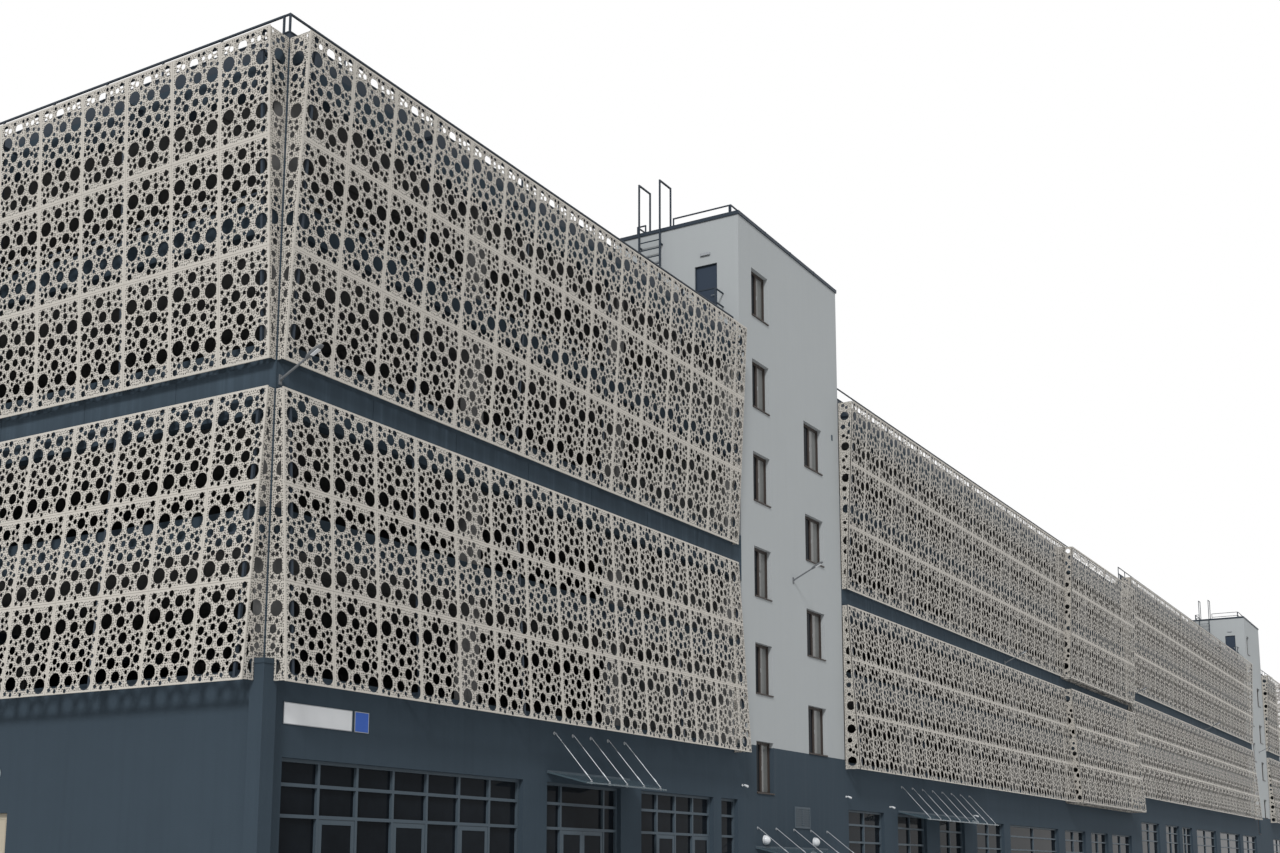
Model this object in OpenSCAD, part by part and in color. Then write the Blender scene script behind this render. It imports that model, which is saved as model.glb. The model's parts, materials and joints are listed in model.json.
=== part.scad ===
// Multi storey car park with two tiers of tilted perforated screens, a 1:10 scale model in millimetres.
// The long front faces -Y, +X runs along it away from the near corner, and +Z is up.
// The origin lies under the middle of the plan, on the ground.

/* [Screens] */
// Width of one cassette along a facade
panel_w = 140; // [120:5:160]
// Thickness of the perforated sheet with its folded edge
sheet_t = 3; // [2:0.5:5]
// Clear joint round each stretch of screen
sheet_joint = 2; // [1:0.5:4]
// Height of the lower edge of the lower tier
screen_foot = 515; // [480:5:530]
// Height of the upper edge of the lower tier
waist_low = 1106; // [1080:2:1120]
// Height of the lower edge of the upper tier
waist_high = 1162; // [1140:2:1180]
// Height of the upper edge of the upper tier
screen_top = 1860; // [1840:5:1900]
// Distance from the wall to the sheet at the waist
waist_gap = 18; // [14:1:26]
// Distance from the wall to the sheet at its outer lips
lip_gap = 55; // [45:1:70]
// How much further the projecting bay stands out
bay_out = 30; // [15:1:45]
// Width of the plain border round a cassette's holes
border = 8; // [6:1:12]
// Holes in each cassette near the corner
near_holes = 12; // [4:1:12]
// Holes in each cassette elsewhere
far_holes = 4; // [1:1:12]

/* [Blocks] */
// Cassettes along the corner block
corner_panels = 14.5; // [9.5:1:19.5]
// Cassettes along the short left side
side_panels = 12; // [8:1:16]
// Cassettes on the first part of the middle block
middle_panels_a = 10; // [8:1:16]
// Cassettes on the second part of the middle block
middle_panels_b = 11; // [6:1:12]
// Cassettes along the projecting bay
bay_panels = 10.5; // [6.5:1:12.5]
// Cassettes on each of the three parts of the long block
long_panels = 11; // [8:1:14]
// Cassettes on the end block
end_panels = 6; // [4:1:10]
// How much higher the far blocks stand
rise = 93; // [40:1:120]

/* [Storeys] */
// Height of the first parking deck
deck_1 = 530; // [520:2:536]
// Height from deck to deck
storey_h = 324; // [318:1:328]
// Thickness of a deck
deck_t = 30; // [20:1:40]
// Thickness of the ground floor slab
floor_t = 15; // [10:1:30]
// Thickness of walls and edge beams
wall_t = 30; // [20:1:36]
// Depth of an edge beam below its deck
beam_drop = 57; // [45:1:80]
// Upstand of an edge beam over its deck
beam_up = 12; // [6:1:20]
// Side of a square facade column
column_w = 40; // [30:1:50]
// Clear movement joint between two stretches of deck
deck_joint = 5; // [2:1:8]

/* [Ground floor] */
// Height of the heads of the shopfronts
shop_head = 376; // [330:2:400]
// Depth from the wall face to the shopfront frame
shop_set = 12; // [8:1:16]
// Width of a shopfront frame bar
bar_w = 7; // [4:0.5:9]
// Depth of a shopfront frame bar
bar_d = 7; // [5:0.5:9]
// Thickness of glass
glass_t = 2; // [1.5:0.5:3]
// Height of the doors in the shopfronts
door_h = 260; // [240:5:270]
// Height of the upper transom of a shopfront
transom_h = 321; // [300:1:340]
// Thickness of a door leaf
leaf_t = 5; // [4:0.5:7]
// Clearance round a door leaf
leaf_gap = 0.5; // [0.3:0.1:1]
// Width of the side door in the left wall
side_door_w = 100; // [80:5:110]
// Height of the side door
side_door_h = 277; // [240:1:300]
// Distance of the side door from the near corner
side_door_y = 729; // [600:1:900]

/* [Stair towers] */
// Width of a stair tower
tower_w = 810; // [760:5:860]
// Depth of a stair tower
tower_d = 460; // [400:5:520]
// Height of a stair tower without its rise
tower_h = 2292; // [2200:2:2360]
// Thickness of the tower walls
tower_t = 25; // [20:1:35]
// Height of the roof coping
coping_h = 12; // [8:1:20]
// How far the coping reaches past the walls
coping_out = 4; // [2:0.5:8]
// Distance from a window frame to the wall face
reveal = 14; // [8:1:16]

/* [Roof rail] */
// Height of the roof rail over the roof edge
rail_h = 88; // [70:1:110]
// Side of a square rail bar
rail_bar = 4; // [3:0.5:6]
// Distance between rail posts
rail_pitch = 176; // [150:2:300]

/* [Hidden] */

facets = 32;
wall_joint = 0.6;
screen_end_gap = 60;
block_gap = 5;
seam_gap = 15;
step_gap = 25;

// Places along the front
tower_1_x = corner_panels * panel_w + screen_end_gap;
middle_wall_x = tower_1_x + tower_w;
middle_a_x = middle_wall_x + block_gap;
middle_b_x = middle_a_x + middle_panels_a * panel_w;
bay_x = middle_b_x + middle_panels_b * panel_w + seam_gap;
bay_end_x = bay_x + bay_panels * panel_w;
step_x = bay_end_x + step_gap;
long_x = step_x + step_gap;
long_end_x = long_x + 3 * long_panels * panel_w;
tower_2_x = long_end_x + 2 * step_gap;
end_wall_x = tower_2_x + tower_w;
end_x = end_wall_x + block_gap;
plan_l = end_x + end_panels * panel_w + block_gap;
plan_d = side_panels * panel_w;
inner_d = plan_d - 2 * wall_t;

// Stretches of screen: start, cassettes, rise, extra distance from the wall
corner_run = [0, corner_panels, 0, 0];
far_runs = [
    [middle_a_x, middle_panels_a, 0, 0],
    [middle_b_x, middle_panels_b, 0, 0],
    [bay_x, bay_panels, 0, bay_out],
    [long_x, long_panels, rise, 0],
    [long_x + long_panels * panel_w, long_panels, rise, 0],
    [long_x + 2 * long_panels * panel_w, long_panels, rise, 0],
    [end_x, end_panels, rise, 0]];
side_run = [0, side_panels, 0, 0];
high_l = plan_l - step_x;
back_high_parts = 3;
back_low_parts = 4;
back_high_panels = floor((high_l - step_gap) / panel_w / back_high_parts);
back_low_panels = floor((step_x - step_gap) / panel_w / back_low_parts);
back_high_end = back_high_parts * back_high_panels * panel_w;
back_low_start = plan_l - back_low_parts * back_low_panels * panel_w;
back_runs = concat(
    [for (k = [0:back_high_parts - 1]) [k * back_high_panels * panel_w, back_high_panels, rise, 0]],
    [for (k = [0:back_low_parts - 1])
        [back_low_start + k * back_low_panels * panel_w, back_low_panels, 0, 0]]);

// Stretches of wall and deck: start, end, rise
front_walls = [
    [0, tower_1_x, 0],
    [middle_wall_x, step_x - wall_joint / 2, 0],
    [step_x + wall_joint / 2, tower_2_x, rise],
    [end_wall_x, plan_l, rise]];
back_walls = [
    [0, high_l - wall_joint / 2, rise],
    [high_l + wall_joint / 2, plan_l, 0]];
tower_xs = [[tower_1_x, 0], [tower_2_x, rise]];

// Deck tops above the first, and the height of the roof edge
upper_decks = [for (k = [1:4]) deck_1 + k * storey_h];
roof_h = deck_1 + 4 * storey_h;
roof_edge = roof_h + beam_up;
band_low = waist_low - 46;
band_high = waist_high + 43;

// Openings in the front ground floor: start, end, spread over the length of their block
function spread(marks, l, drawn) = [for (m = marks) m * (l / drawn)];
corner_shops = spread([[60, 892], [996, 1352], [1461, 1888], [1939, 2050]], tower_1_x, 2090);
middle_shops = spread([[25, 370], [510, 830], [985, 1300], [1465, 1860], [1955, 2780],
    [2905, 3320], [3440, 3820], [3915, 4400]], step_x - middle_wall_x, 4455);
long_shops = spread([[225, 740], [938, 1371], [1472, 1820], [1983, 2740], [2907, 3805], [3950, 4640]],
    tower_2_x - step_x, 4695);
end_shops = spread([[90, 740]], plan_l - end_wall_x, 850);

// Bars of a shopfront of n even bays, and its door bays: shopfront, bays, bays that hold a door
function bar_place(shop, n, k) = shop[0] + bar_w / 2 + (shop[1] - shop[0] - bar_w) * k / n;
first_bays = 7;
third_bays = 4;
first_doors = [for (k = [1, 3, 5]) [bar_place(corner_shops[0], first_bays, k),
    bar_place(corner_shops[0], first_bays, k + 1)]];
third_doors = [for (k = [1, 3]) [bar_place(corner_shops[2], third_bays, k),
    bar_place(corner_shops[2], third_bays, k + 1)]];
pair_door = [corner_shops[1][0] + 82, corner_shops[1][1] - 68];

// Holes of one cassette, largest first: place across, place up, radius.
// They are drawn in a cassette of drawn_w, and of upper_drawn or lower_drawn in height.
drawn_w = 140;
upper_drawn = 233;
lower_drawn = 197;
upper_holes = [[25, 179, 16], [118, 170, 16], [25, 63, 16], [118, 54, 16],
    [64, 208, 12], [75, 174, 12], [48, 144, 12], [91, 144, 12],
    [62, 93, 12], [74, 59, 12], [50, 29, 12], [88, 30, 12]];
lower_holes = [[26, 144, 16], [119, 135, 16], [26, 30, 16], [119, 21, 16],
    [53, 169, 12], [92, 170, 12], [68, 140, 12], [79, 106, 12],
    [51, 55, 12], [96, 54, 12], [69, 26, 12], [101, 83, 9]];

function upper_len() = norm([screen_top - waist_high, lip_gap - waist_gap]);
function lower_len() = norm([waist_low - screen_foot, lip_gap - waist_gap]);
function upper_lean() = atan((lip_gap - waist_gap) / (screen_top - waist_high));
function lower_lean() = atan((lip_gap - waist_gap) / (waist_low - screen_foot));
function upper_off(z) = waist_gap + (z - waist_high) * tan(upper_lean());
function lower_off(z) = waist_gap + (waist_low - z) * tan(lower_lean());

// Moves the plan from its near corner to the middle
module from_corner() translate([-plan_l / 2, -plan_d / 2, 0]) children();
// Turns a facade drawn along +X and facing -Y to the other sides
module on_left() translate([0, plan_d, 0]) rotate([0, 0, -90]) children();
module on_back() translate([plan_l, plan_d, 0]) rotate([0, 0, 180]) children();
module on_right() translate([plan_l, 0, 0]) rotate([0, 0, 90]) children();
module block(x0, x1, y0, y1, z0, z1) translate([x0, y0, z0]) cube([x1 - x0, y1 - y0, z1 - z0]);

// Lays children, drawn flat with y up the slope, on the upper or lower tier
module on_upper(run) translate([run[0], -waist_gap - run[3], waist_high + run[2]])
    rotate([90 + upper_lean(), 0, 0]) children();
module on_lower(run) translate([run[0], -lip_gap - run[3], screen_foot + run[2]])
    rotate([90 - lower_lean(), 0, 0]) children();

// One stretch of perforated cassettes, three rows high
module sheet(panels, length, count, holes, drawn_h) {
    row_h = length / 3;
    run_l = panels * panel_w;
    grow = panel_w / drawn_w;
    linear_extrude(sheet_t) difference() {
        translate([sheet_joint / 2, 0]) square([run_l - sheet_joint, length]);
        for (c = [0:ceil(panels) - 1], r = [0:2], h = [0:count - 1])
            if (c * panel_w + (holes[h][0] + holes[h][2]) * grow < run_l - border)
                translate([c * panel_w + holes[h][0] * grow, r * row_h + holes[h][1] * row_h / drawn_h])
                    circle(r = holes[h][2] * grow, $fn = facets);
    }
}

module upper_sheet(run, count) on_upper(run) sheet(run[1], upper_len(), count, upper_holes, upper_drawn);
module lower_sheet(run, count) on_lower(run) sheet(run[1], lower_len(), count, lower_holes, lower_drawn);

screen_color = "wheat";
render_color = "slategray";
module front_screen_upper() color(screen_color) from_corner() upper_sheet(corner_run, near_holes);
module front_screen_lower() color(screen_color) from_corner() lower_sheet(corner_run, near_holes);
module left_screen_upper() color(screen_color) from_corner() on_left() upper_sheet(side_run, near_holes);
module left_screen_lower() color(screen_color) from_corner() on_left() lower_sheet(side_run, near_holes);
module far_screens_upper() color(screen_color) from_corner() for (r = far_runs) upper_sheet(r, far_holes);
module far_screens_lower() color(screen_color) from_corner() for (r = far_runs) lower_sheet(r, far_holes);
module back_screens() color(screen_color) from_corner() on_back() for (r = back_runs) {
    upper_sheet(r, far_holes);
    lower_sheet(r, far_holes);
}
module right_screens() color(screen_color) from_corner() on_right() {
    upper_sheet(right_run, far_holes);
    lower_sheet(right_run, far_holes);
}

// Perforated plate that closes the end of a tier at x, from the wall to the back of the sheet,
// with a notch at its foot where the corner column stands in its way
return_gap = 0.3;
module return_plate(x, up, out, notch) {
    z_in = up ? waist_high : waist_low;
    z_out = up ? screen_top : screen_foot;
    way = up ? 1 : -1;
    span = abs(z_out - z_in);
    steps = 9;
    translate([x, 0, 0]) rotate([90, 0, -90]) linear_extrude(sheet_t) difference() {
        polygon([[return_gap, z_in + way * 2], [waist_gap + out - return_gap, z_in + way * 2],
            [lip_gap + out - return_gap, z_out - way * 2], [return_gap, z_out - way * 2]]);
        if (notch) square([corner_proud + 2, corner_h + 2]);
        for (k = [0:steps - 1]) {
            t = (k + 0.5) / steps;
            w = waist_gap + out + (lip_gap - waist_gap) * t;
            translate([w / 2, z_in + way * span * t]) circle(r = w * 0.3, $fn = facets);
        }
    }
}

module run_returns(run_start, run_end, lift, out, notch = 0)
    translate([0, 0, lift]) for (up = [true, false]) {
        return_plate(run_start + sheet_joint / 2 + sheet_t, up, out, notch < 0);
        return_plate(run_end - sheet_joint / 2, up, out, notch > 0);
    }

module screen_returns() color(screen_color) from_corner() {
    run_returns(0, corner_panels * panel_w, 0, 0, -1);
    run_returns(middle_a_x, bay_x - seam_gap, 0, 0);
    run_returns(bay_x, bay_end_x, 0, bay_out);
    run_returns(long_x, long_end_x, rise, 0);
    run_returns(end_x, end_x + end_panels * panel_w, rise, 0);
    on_left() run_returns(0, side_panels * panel_w, 0, 0, 1);
    on_right() run_returns(0, side_panels * panel_w, rise, 0);
    on_back() {
        run_returns(0, back_high_end, rise, 0);
        run_returns(back_low_start, plan_l, 0, 0);
    }
}

// Perforated strips under the two tiers of the projecting bay
module soffit(z, depth) translate([bay_x + sheet_joint, -depth + 2, z]) linear_extrude(sheet_t)
    difference() {
        square([bay_panels * panel_w - 2 * sheet_joint, depth - 2.3]);
        for (c = [0:2 * bay_panels - 2])
            translate([(c + 0.75) * panel_w / 2, depth / 2]) circle(r = depth * 0.28, $fn = facets);
    }
module bay_soffits() color(screen_color) from_corner() {
    soffit(waist_high - sheet_t, waist_gap + bay_out);
    soffit(screen_foot - sheet_t, lip_gap + bay_out);
}

// Steel posts and rails behind one tier, and the brackets that hold the posts off the wall
post_d = 6;
post_w = 6;
post_set = 22;
post_cut = 4;
frame_rail = 4;
bracket_h = 6;
bracket_gap = 0.2;
near_step = 3;
far_step = 6;
right_run = [0, side_panels, rise, 0];
function post_marks(run, post_step) = let (spans = max(1, round(run[1] / post_step)))
    [for (k = [0:spans]) post_set + (run[1] * panel_w - 2 * post_set - post_w) * k / spans];
module lattice(run, length, marks) {
    for (x = marks) translate([x, post_cut, -post_d]) cube([post_w, length - 2 * post_cut, post_d]);
    for (y = [post_cut, (length - frame_rail) / 2, length - post_cut - frame_rail])
        translate([2 * sheet_t, y, -post_d]) cube([run[1] * panel_w - 4 * sheet_t, frame_rail, post_d]);
}
module both_frames(run, post_step) {
    on_upper(run) lattice(run, upper_len(), post_marks(run, post_step));
    on_lower(run) lattice(run, lower_len(), post_marks(run, post_step));
}
module screen_frames_long() color("dimgray") from_corner() {
    both_frames(corner_run, near_step);
    for (r = far_runs) both_frames(r, far_step);
    on_back() for (r = back_runs) both_frames(r, far_step);
}
module screen_frames_ends() color("dimgray") from_corner() {
    on_left() both_frames(side_run, near_step);
    on_right() both_frames(right_run, far_step);
}
// The back of a post lies at off less its depth, and a leaning one comes nearer to the wall
module both_brackets(run, post_step) {
    for (x = post_marks(run, post_step)) {
        for (z = [waist_high + 18, roof_h - 20])
            bracket(run, x, z, min(upper_off(z), upper_off(z + bracket_h)) - post_d / cos(upper_lean()));
        for (z = [deck_1, waist_low - 20])
            bracket(run, x, z, min(lower_off(z), lower_off(z + bracket_h)) - post_d / cos(lower_lean()));
    }
}
module bracket(run, x, z, reach)
    block(run[0] + x, run[0] + x + post_w, -reach - run[3] + bracket_gap, 0,
        z + run[2], z + bracket_h + run[2]);
module screen_brackets() color("dimgray") from_corner() {
    both_brackets(corner_run, near_step);
    for (r = far_runs) both_brackets(r, far_step);
    on_back() for (r = back_runs) both_brackets(r, far_step);
    on_left() both_brackets(side_run, near_step);
    on_right() both_brackets(right_run, far_step);
}

// Facade columns stand behind the edge beams, each block with its own even spacing
function marks_between(a, b, n) = [for (k = [0:n]) a + (b - a - column_w) * k / n];
front_columns = [
    [marks_between(wall_t + 5, tower_1_x - 10, 3), 0],
    [marks_between(middle_wall_x + 10, step_x - 10, 6), 0],
    [marks_between(step_x + 10, tower_2_x - 10, 6), rise],
    [marks_between(end_wall_x + 10, plan_l - wall_t - 5, 1), rise]];
back_columns = [
    [marks_between(wall_t + 5, tower_1_x - 10, 3), 0],
    [marks_between(tower_1_x + 10, middle_wall_x - 10, 1), 0],
    [marks_between(middle_wall_x + 10, step_x - 10, 6), 0],
    [marks_between(step_x + 10, tower_2_x - 10, 6), rise],
    [marks_between(tower_2_x + 10, end_wall_x - 10, 1), rise],
    [marks_between(end_wall_x + 10, plan_l - wall_t - 5, 1), rise]];
module column_plan(grow) {
    for (g = front_columns, x = g[0])
        translate([x - grow, wall_t - 0.01]) square([column_w + 2 * grow, column_w + grow + 0.01]);
    for (g = back_columns, x = g[0])
        translate([x - grow, plan_d - wall_t - column_w - grow])
            square([column_w + 2 * grow, column_w + grow + 0.01]);
}
module facade_columns() color("gray") from_corner() {
    for (g = front_columns, x = g[0])
        block(x, x + column_w, wall_t, wall_t + column_w, floor_t + g[1], roof_h - deck_t + g[1]);
    for (g = back_columns, x = g[0])
        block(x, x + column_w, plan_d - wall_t - column_w, plan_d - wall_t,
            floor_t + g[1], roof_h - deck_t + g[1]);
}

// Stretches of floor: start, end, front edge, rise
floors = [
    [wall_t, tower_1_x - deck_joint, wall_t, 0],
    [tower_1_x, middle_wall_x - deck_joint, tower_d, 0],
    [middle_wall_x, step_x - deck_joint / 2, wall_t, 0],
    [step_x + deck_joint / 2, tower_2_x - deck_joint, wall_t, rise],
    [tower_2_x, end_wall_x - deck_joint, tower_d, rise],
    [end_wall_x, plan_l - wall_t, wall_t, rise]];
module thresholds(w, shops) for (s = shops)
    block(w[0] + s[0], w[0] + s[1], 0, wall_t + 1, w[2], w[2] + floor_t);
module ground_floor() color("darkgray") from_corner() {
    for (f = floors) block(f[0], f[1], f[2], plan_d - wall_t, f[3], f[3] + floor_t);
    thresholds(front_walls[0], corner_shops);
    thresholds(front_walls[1], middle_shops);
    thresholds(front_walls[2], long_shops);
    thresholds(front_walls[3], end_shops);
    on_back() for (w = back_walls) thresholds(w, even_shops(w[1] - w[0]));
    block(0, wall_t + 1, side_door_y, side_door_y + side_door_w, 0, floor_t);
}
module parking_decks() color("darkgray") from_corner() for (f = floors, k = [0:4])
    translate([0, 0, f[3] + deck_1 + k * storey_h - deck_t]) linear_extrude(deck_t) difference() {
        translate([f[0], f[2]]) square([f[1] - f[0], plan_d - wall_t - f[2]]);
        if (k < 4) column_plan(0);
    }

// Edge beams, the waist band and the roof edge on one stretch of facade
module beams(w, inset) for (b = [
    [upper_decks[0] - beam_drop, upper_decks[0] + beam_up],
    [band_low, band_high],
    [upper_decks[2] - beam_drop, upper_decks[2] + beam_up],
    [roof_h - beam_drop, roof_edge]])
    block(w[0] + inset, w[1] - inset, 0, wall_t, b[0] + w[2], b[1] + w[2]);
module edge_beams_long() color(render_color) from_corner() {
    for (w = front_walls) beams(w, 0);
    on_back() for (w = back_walls) beams(w, 0);
}
module edge_beams_ends() color(render_color) from_corner() {
    on_left() beams([0, plan_d, 0], wall_t);
    on_right() beams([0, plan_d, rise], wall_t);
}

// Ground floor walls: piers between the openings, each from its plinth or the ground
module piers(w, shops, base) {
    n = len(shops);
    for (k = [0:n]) {
        x0 = k == 0 ? w[0] : w[0] + shops[k - 1][1];
        x1 = k == n ? w[1] : w[0] + shops[k][0];
        block(x0, x1, 0, wall_t, w[2] > 0 ? base : 0, shop_head + w[2]);
    }
}
back_bay = 6 * panel_w;
function even_shops(l) =
    [for (k = [0:floor((l - 100) / back_bay) - 1]) [k * back_bay + 150, k * back_bay + 750]];
vehicle_bay = 0;
low_back_shops = even_shops(back_walls[1][1] - back_walls[1][0]);
glazed_back_shops = [for (k = [0:len(low_back_shops) - 1]) if (k != vehicle_bay) low_back_shops[k]];
module ground_piers() color(render_color) from_corner() {
    piers(front_walls[0], corner_shops, rise);
    piers(front_walls[1], middle_shops, rise);
    piers(front_walls[2], long_shops, rise);
    piers(front_walls[3], end_shops, rise);
    on_back() for (w = back_walls) piers(w, even_shops(w[1] - w[0]), rise);
}
module shop_lintels() color(render_color) from_corner() {
    for (w = front_walls) block(w[0], w[1], 0, wall_t, shop_head + w[2], deck_1 + beam_up + w[2]);
    on_back() for (w = back_walls) block(w[0], w[1], 0, wall_t, shop_head + w[2], deck_1 + beam_up + w[2]);
}
module plinths() color(render_color) from_corner() {
    for (w = [front_walls[2], front_walls[3]]) block(w[0], w[1], 0, wall_t, 0, rise);
    on_back() block(back_walls[0][0], back_walls[0][1], 0, wall_t, 0, rise);
}
side_door_end = side_door_y + side_door_w;
module end_walls() color(render_color) from_corner() {
    block(0, wall_t, wall_t, side_door_y, 0, deck_1 + beam_up);
    block(0, wall_t, side_door_end, plan_d - wall_t, 0, deck_1 + beam_up);
    on_right() block(wall_t, plan_d - wall_t, 0, wall_t, 0, deck_1 + beam_up + rise);
}
module side_door_lintel() color(render_color) from_corner()
    block(0, wall_t, side_door_y, side_door_end, side_door_h, deck_1 + beam_up);

// Slim column on the near corner, notched round the two walls, with a cap ring
corner_proud = 24;
corner_w = 36;
corner_h = 560;
cap_out = 1.5;
cap_h = 10;
module corner_plan(grow) difference() {
    translate([-corner_proud - grow, -corner_proud - grow]) square(corner_w + 2 * grow);
    square(corner_w + grow + 1);
}
module corner_column() color(render_color) from_corner() {
    linear_extrude(corner_h - cap_h) corner_plan(0);
    translate([0, 0, corner_h - cap_h]) linear_extrude(cap_h) corner_plan(cap_out);
}

// Stair tower: windows in two columns on its front
window_h = 165;
function window_column(x, w, top, low, n) =
    [for (k = [0:n - 1]) [x, top - (top - low) * k / (n - 1) - window_h, w, window_h]];
windows = concat(window_column(94, 125, tower_h - 162, deck_1 + 35, 6),
    window_column(tower_w - 310, 153, tower_h - 581, deck_1 + 185, 4));
tower_door = [150, floor_t, 180, 215];
over_roof = tower_h - roof_h;
roof_door = [78, roof_h + over_roof * 0.2, 82, over_roof * 0.45];
module each_tower() from_corner() for (t = tower_xs) translate([t[0], 0, t[1]]) children();
wall_top = tower_h - coping_h;
roof_drop = 4;
module tower_front_walls() color("whitesmoke") from_corner() for (t = tower_xs) translate([t[0], 0, 0])
    translate([0, tower_t, 0]) rotate([90, 0, 0]) linear_extrude(tower_t) difference() {
        square([tower_w, wall_top + t[1]]);
        for (w = windows) translate([w[0], w[1] + t[1]]) square([w[2], w[3]]);
        translate([tower_door[0], tower_door[1] + t[1]]) square([tower_door[2], tower_door[3]]);
    }
module tower_side_walls() color("whitesmoke") from_corner() for (t = tower_xs) translate([t[0], 0, 0]) {
    difference() {
        block(0, tower_t, tower_t, tower_d, 0, wall_top + t[1]);
        block(-1, tower_t + 1, roof_door[0], roof_door[0] + roof_door[2], roof_door[1] + t[1],
            roof_door[1] + roof_door[3] + t[1]);
    }
    block(tower_w - tower_t, tower_w, tower_t, tower_d, 0, wall_top + t[1]);
}
module tower_back_walls() color("whitesmoke") from_corner() for (t = tower_xs) translate([t[0], 0, 0])
    block(tower_t, tower_w - tower_t, tower_d - tower_t, tower_d, 0, wall_top + t[1]);
module tower_floors() color("darkgray") each_tower() {
    for (k = [0:4]) block(tower_t, tower_w - tower_t, tower_t, tower_d - tower_t,
        deck_1 + k * storey_h - deck_t, deck_1 + k * storey_h);
    block(tower_t, tower_w - tower_t, tower_t, tower_d - tower_t, 0, floor_t);
    block(tower_t, tower_w - tower_t, tower_t, tower_d - tower_t, wall_top - deck_t, wall_top - roof_drop);
}
module tower_copings() color("dimgray") each_tower() translate([0, 0, wall_top]) linear_extrude(coping_h)
    difference() {
        translate([-coping_out, -coping_out]) square([tower_w + 2 * coping_out, tower_d + 2 * coping_out]);
        translate([tower_t, tower_t]) square([tower_w - 2 * tower_t, tower_d - 2 * tower_t]);
    }
window_bar = 5;
window_d = 5;
sill_out = 4;
sill_h = 4;
module tower_window_frames() color("black") each_tower() for (w = windows) {
    translate([w[0], reveal + window_d, w[1]]) rotate([90, 0, 0]) linear_extrude(window_d) difference() {
        square([w[2], w[3]]);
        for (x = [window_bar, (w[2] + window_bar) / 2])
            translate([x, window_bar]) square([w[2] / 2 - 1.5 * window_bar, w[3] - 2 * window_bar]);
    }
    block(w[0], w[0] + w[2], -sill_out, reveal, w[1], w[1] + sill_h);
}
module tower_glass() color("lightblue", 0.5) each_tower() for (w = windows)
    block(w[0], w[0] + w[2], reveal + window_d, reveal + window_d + glass_t, w[1], w[1] + w[3]);
module tower_doors() color("dimgray") each_tower()
    block(tower_door[0] + leaf_gap, tower_door[0] + tower_door[2] - leaf_gap, reveal, reveal + leaf_t,
        tower_door[1], tower_door[1] + tower_door[3] - leaf_gap);
module roof_doors() color("steelblue") each_tower()
    block(8, 8 + leaf_t, roof_door[0] + 0.2, roof_door[0] + roof_door[2] - 0.2, roof_door[1],
        roof_door[1] + roof_door[3] - 0.2);

// Landing outside the roof door, on four legs, with its guard rail
landing_l = 60;
landing_w = 130;
module roof_landings() color("dimgray") each_tower() translate([-landing_l, roof_door[0] - 24, 0]) {
    block(0, landing_l, 0, landing_w, roof_door[1] - 4, roof_door[1]);
    for (x = [0, landing_l - 16], y = [0, landing_w - 4]) block(x, x + 4, y, y + 4, roof_h, roof_door[1] - 4);
    for (y = [0, landing_w - 4]) block(0, 4, y, y + 4, roof_door[1], roof_door[1] + 100);
    block(0, 4, 0, landing_w, roof_door[1] + 96, roof_door[1] + 100);
    block(0, 4, 0, landing_w, roof_door[1] + 50, roof_door[1] + 54);
    for (y = [0, landing_w - 4], z = [50, 96])
        block(0, landing_l, y, y + 4, roof_door[1] + z, roof_door[1] + z + 4);
}

// Fixed ladder on the side wall, its two stiles carried up and over as tall hoops
ladder_ys = [280, 360];
hoop_h = tower_h + 168;
rungs = 15;
rung_pitch = (over_roof - 46) / rungs;
module roof_ladders() color("dimgray") each_tower() {
    for (y = ladder_ys) {
        block(-20, -15, y, y + 5, roof_h, hoop_h);
        block(-20, 60, y, y + 5, hoop_h - 5, hoop_h);
        block(55, 60, y, y + 5, wall_top - roof_drop, hoop_h);
        for (z = [roof_h + 60, tower_h - 60]) block(-15, 0, y, y + 5, z, z + 5);
    }
    for (k = [1:rungs])
        block(-20, -17, ladder_ys[0] + 5, ladder_ys[1], roof_h + k * rung_pitch, roof_h + k * rung_pitch + 3);
}

// Guard rail drawn along +X, its posts standing on z = 0
module rail_run(l, h) {
    n = max(1, round(l / rail_pitch));
    for (k = [0:n]) translate([(l - rail_bar) * k / n, 0, 0]) cube([rail_bar, rail_bar, h]);
    for (z = [h - rail_bar, h * 0.5]) translate([0, 0, z]) cube([l, rail_bar, rail_bar]);
}
rail_set = 13;
module roof_rails_long() color("dimgray") from_corner() {
    for (w = front_walls) translate([w[0] + rail_set, rail_set, roof_edge + w[2]])
        rail_run(w[1] - w[0] - 2 * rail_set, rail_h);
    on_back() for (w = back_walls) translate([w[0] + rail_set, rail_set, roof_edge + w[2]])
        rail_run(w[1] - w[0] - 2 * rail_set, rail_h);
}
module roof_rails_ends() color("dimgray") from_corner() {
    on_left() translate([wall_t, rail_set, roof_edge]) rail_run(inner_d, rail_h);
    on_right() translate([wall_t, rail_set, roof_edge + rise]) rail_run(inner_d, rail_h);
}
// The towers' guard rail stands back on the roof slab and opens at the ladder
tower_rail_in = 50;
tower_rail_over = 53;
tower_rail_h = tower_rail_over + coping_h + roof_drop;
corner_gap = 1;
ladder_gap = 10;
side_start = tower_rail_in + rail_bar + corner_gap;
side_end = tower_d - side_start;
module side_rail(x, y0, y1)
    translate([x + rail_bar, y0, 0]) rotate([0, 0, 90]) rail_run(y1 - y0, tower_rail_h);
module tower_rails() color("dimgray") each_tower() translate([0, 0, wall_top - roof_drop]) {
    for (y = [tower_rail_in, tower_d - tower_rail_in - rail_bar])
        translate([tower_rail_in, y, 0]) rail_run(tower_w - 2 * tower_rail_in, tower_rail_h);
    side_rail(tower_rail_in, side_start, ladder_ys[0] - ladder_gap);
    side_rail(tower_rail_in, ladder_ys[1] + 5 + ladder_gap, side_end);
    side_rail(tower_w - tower_rail_in - rail_bar, side_start, side_end);
}

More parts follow.
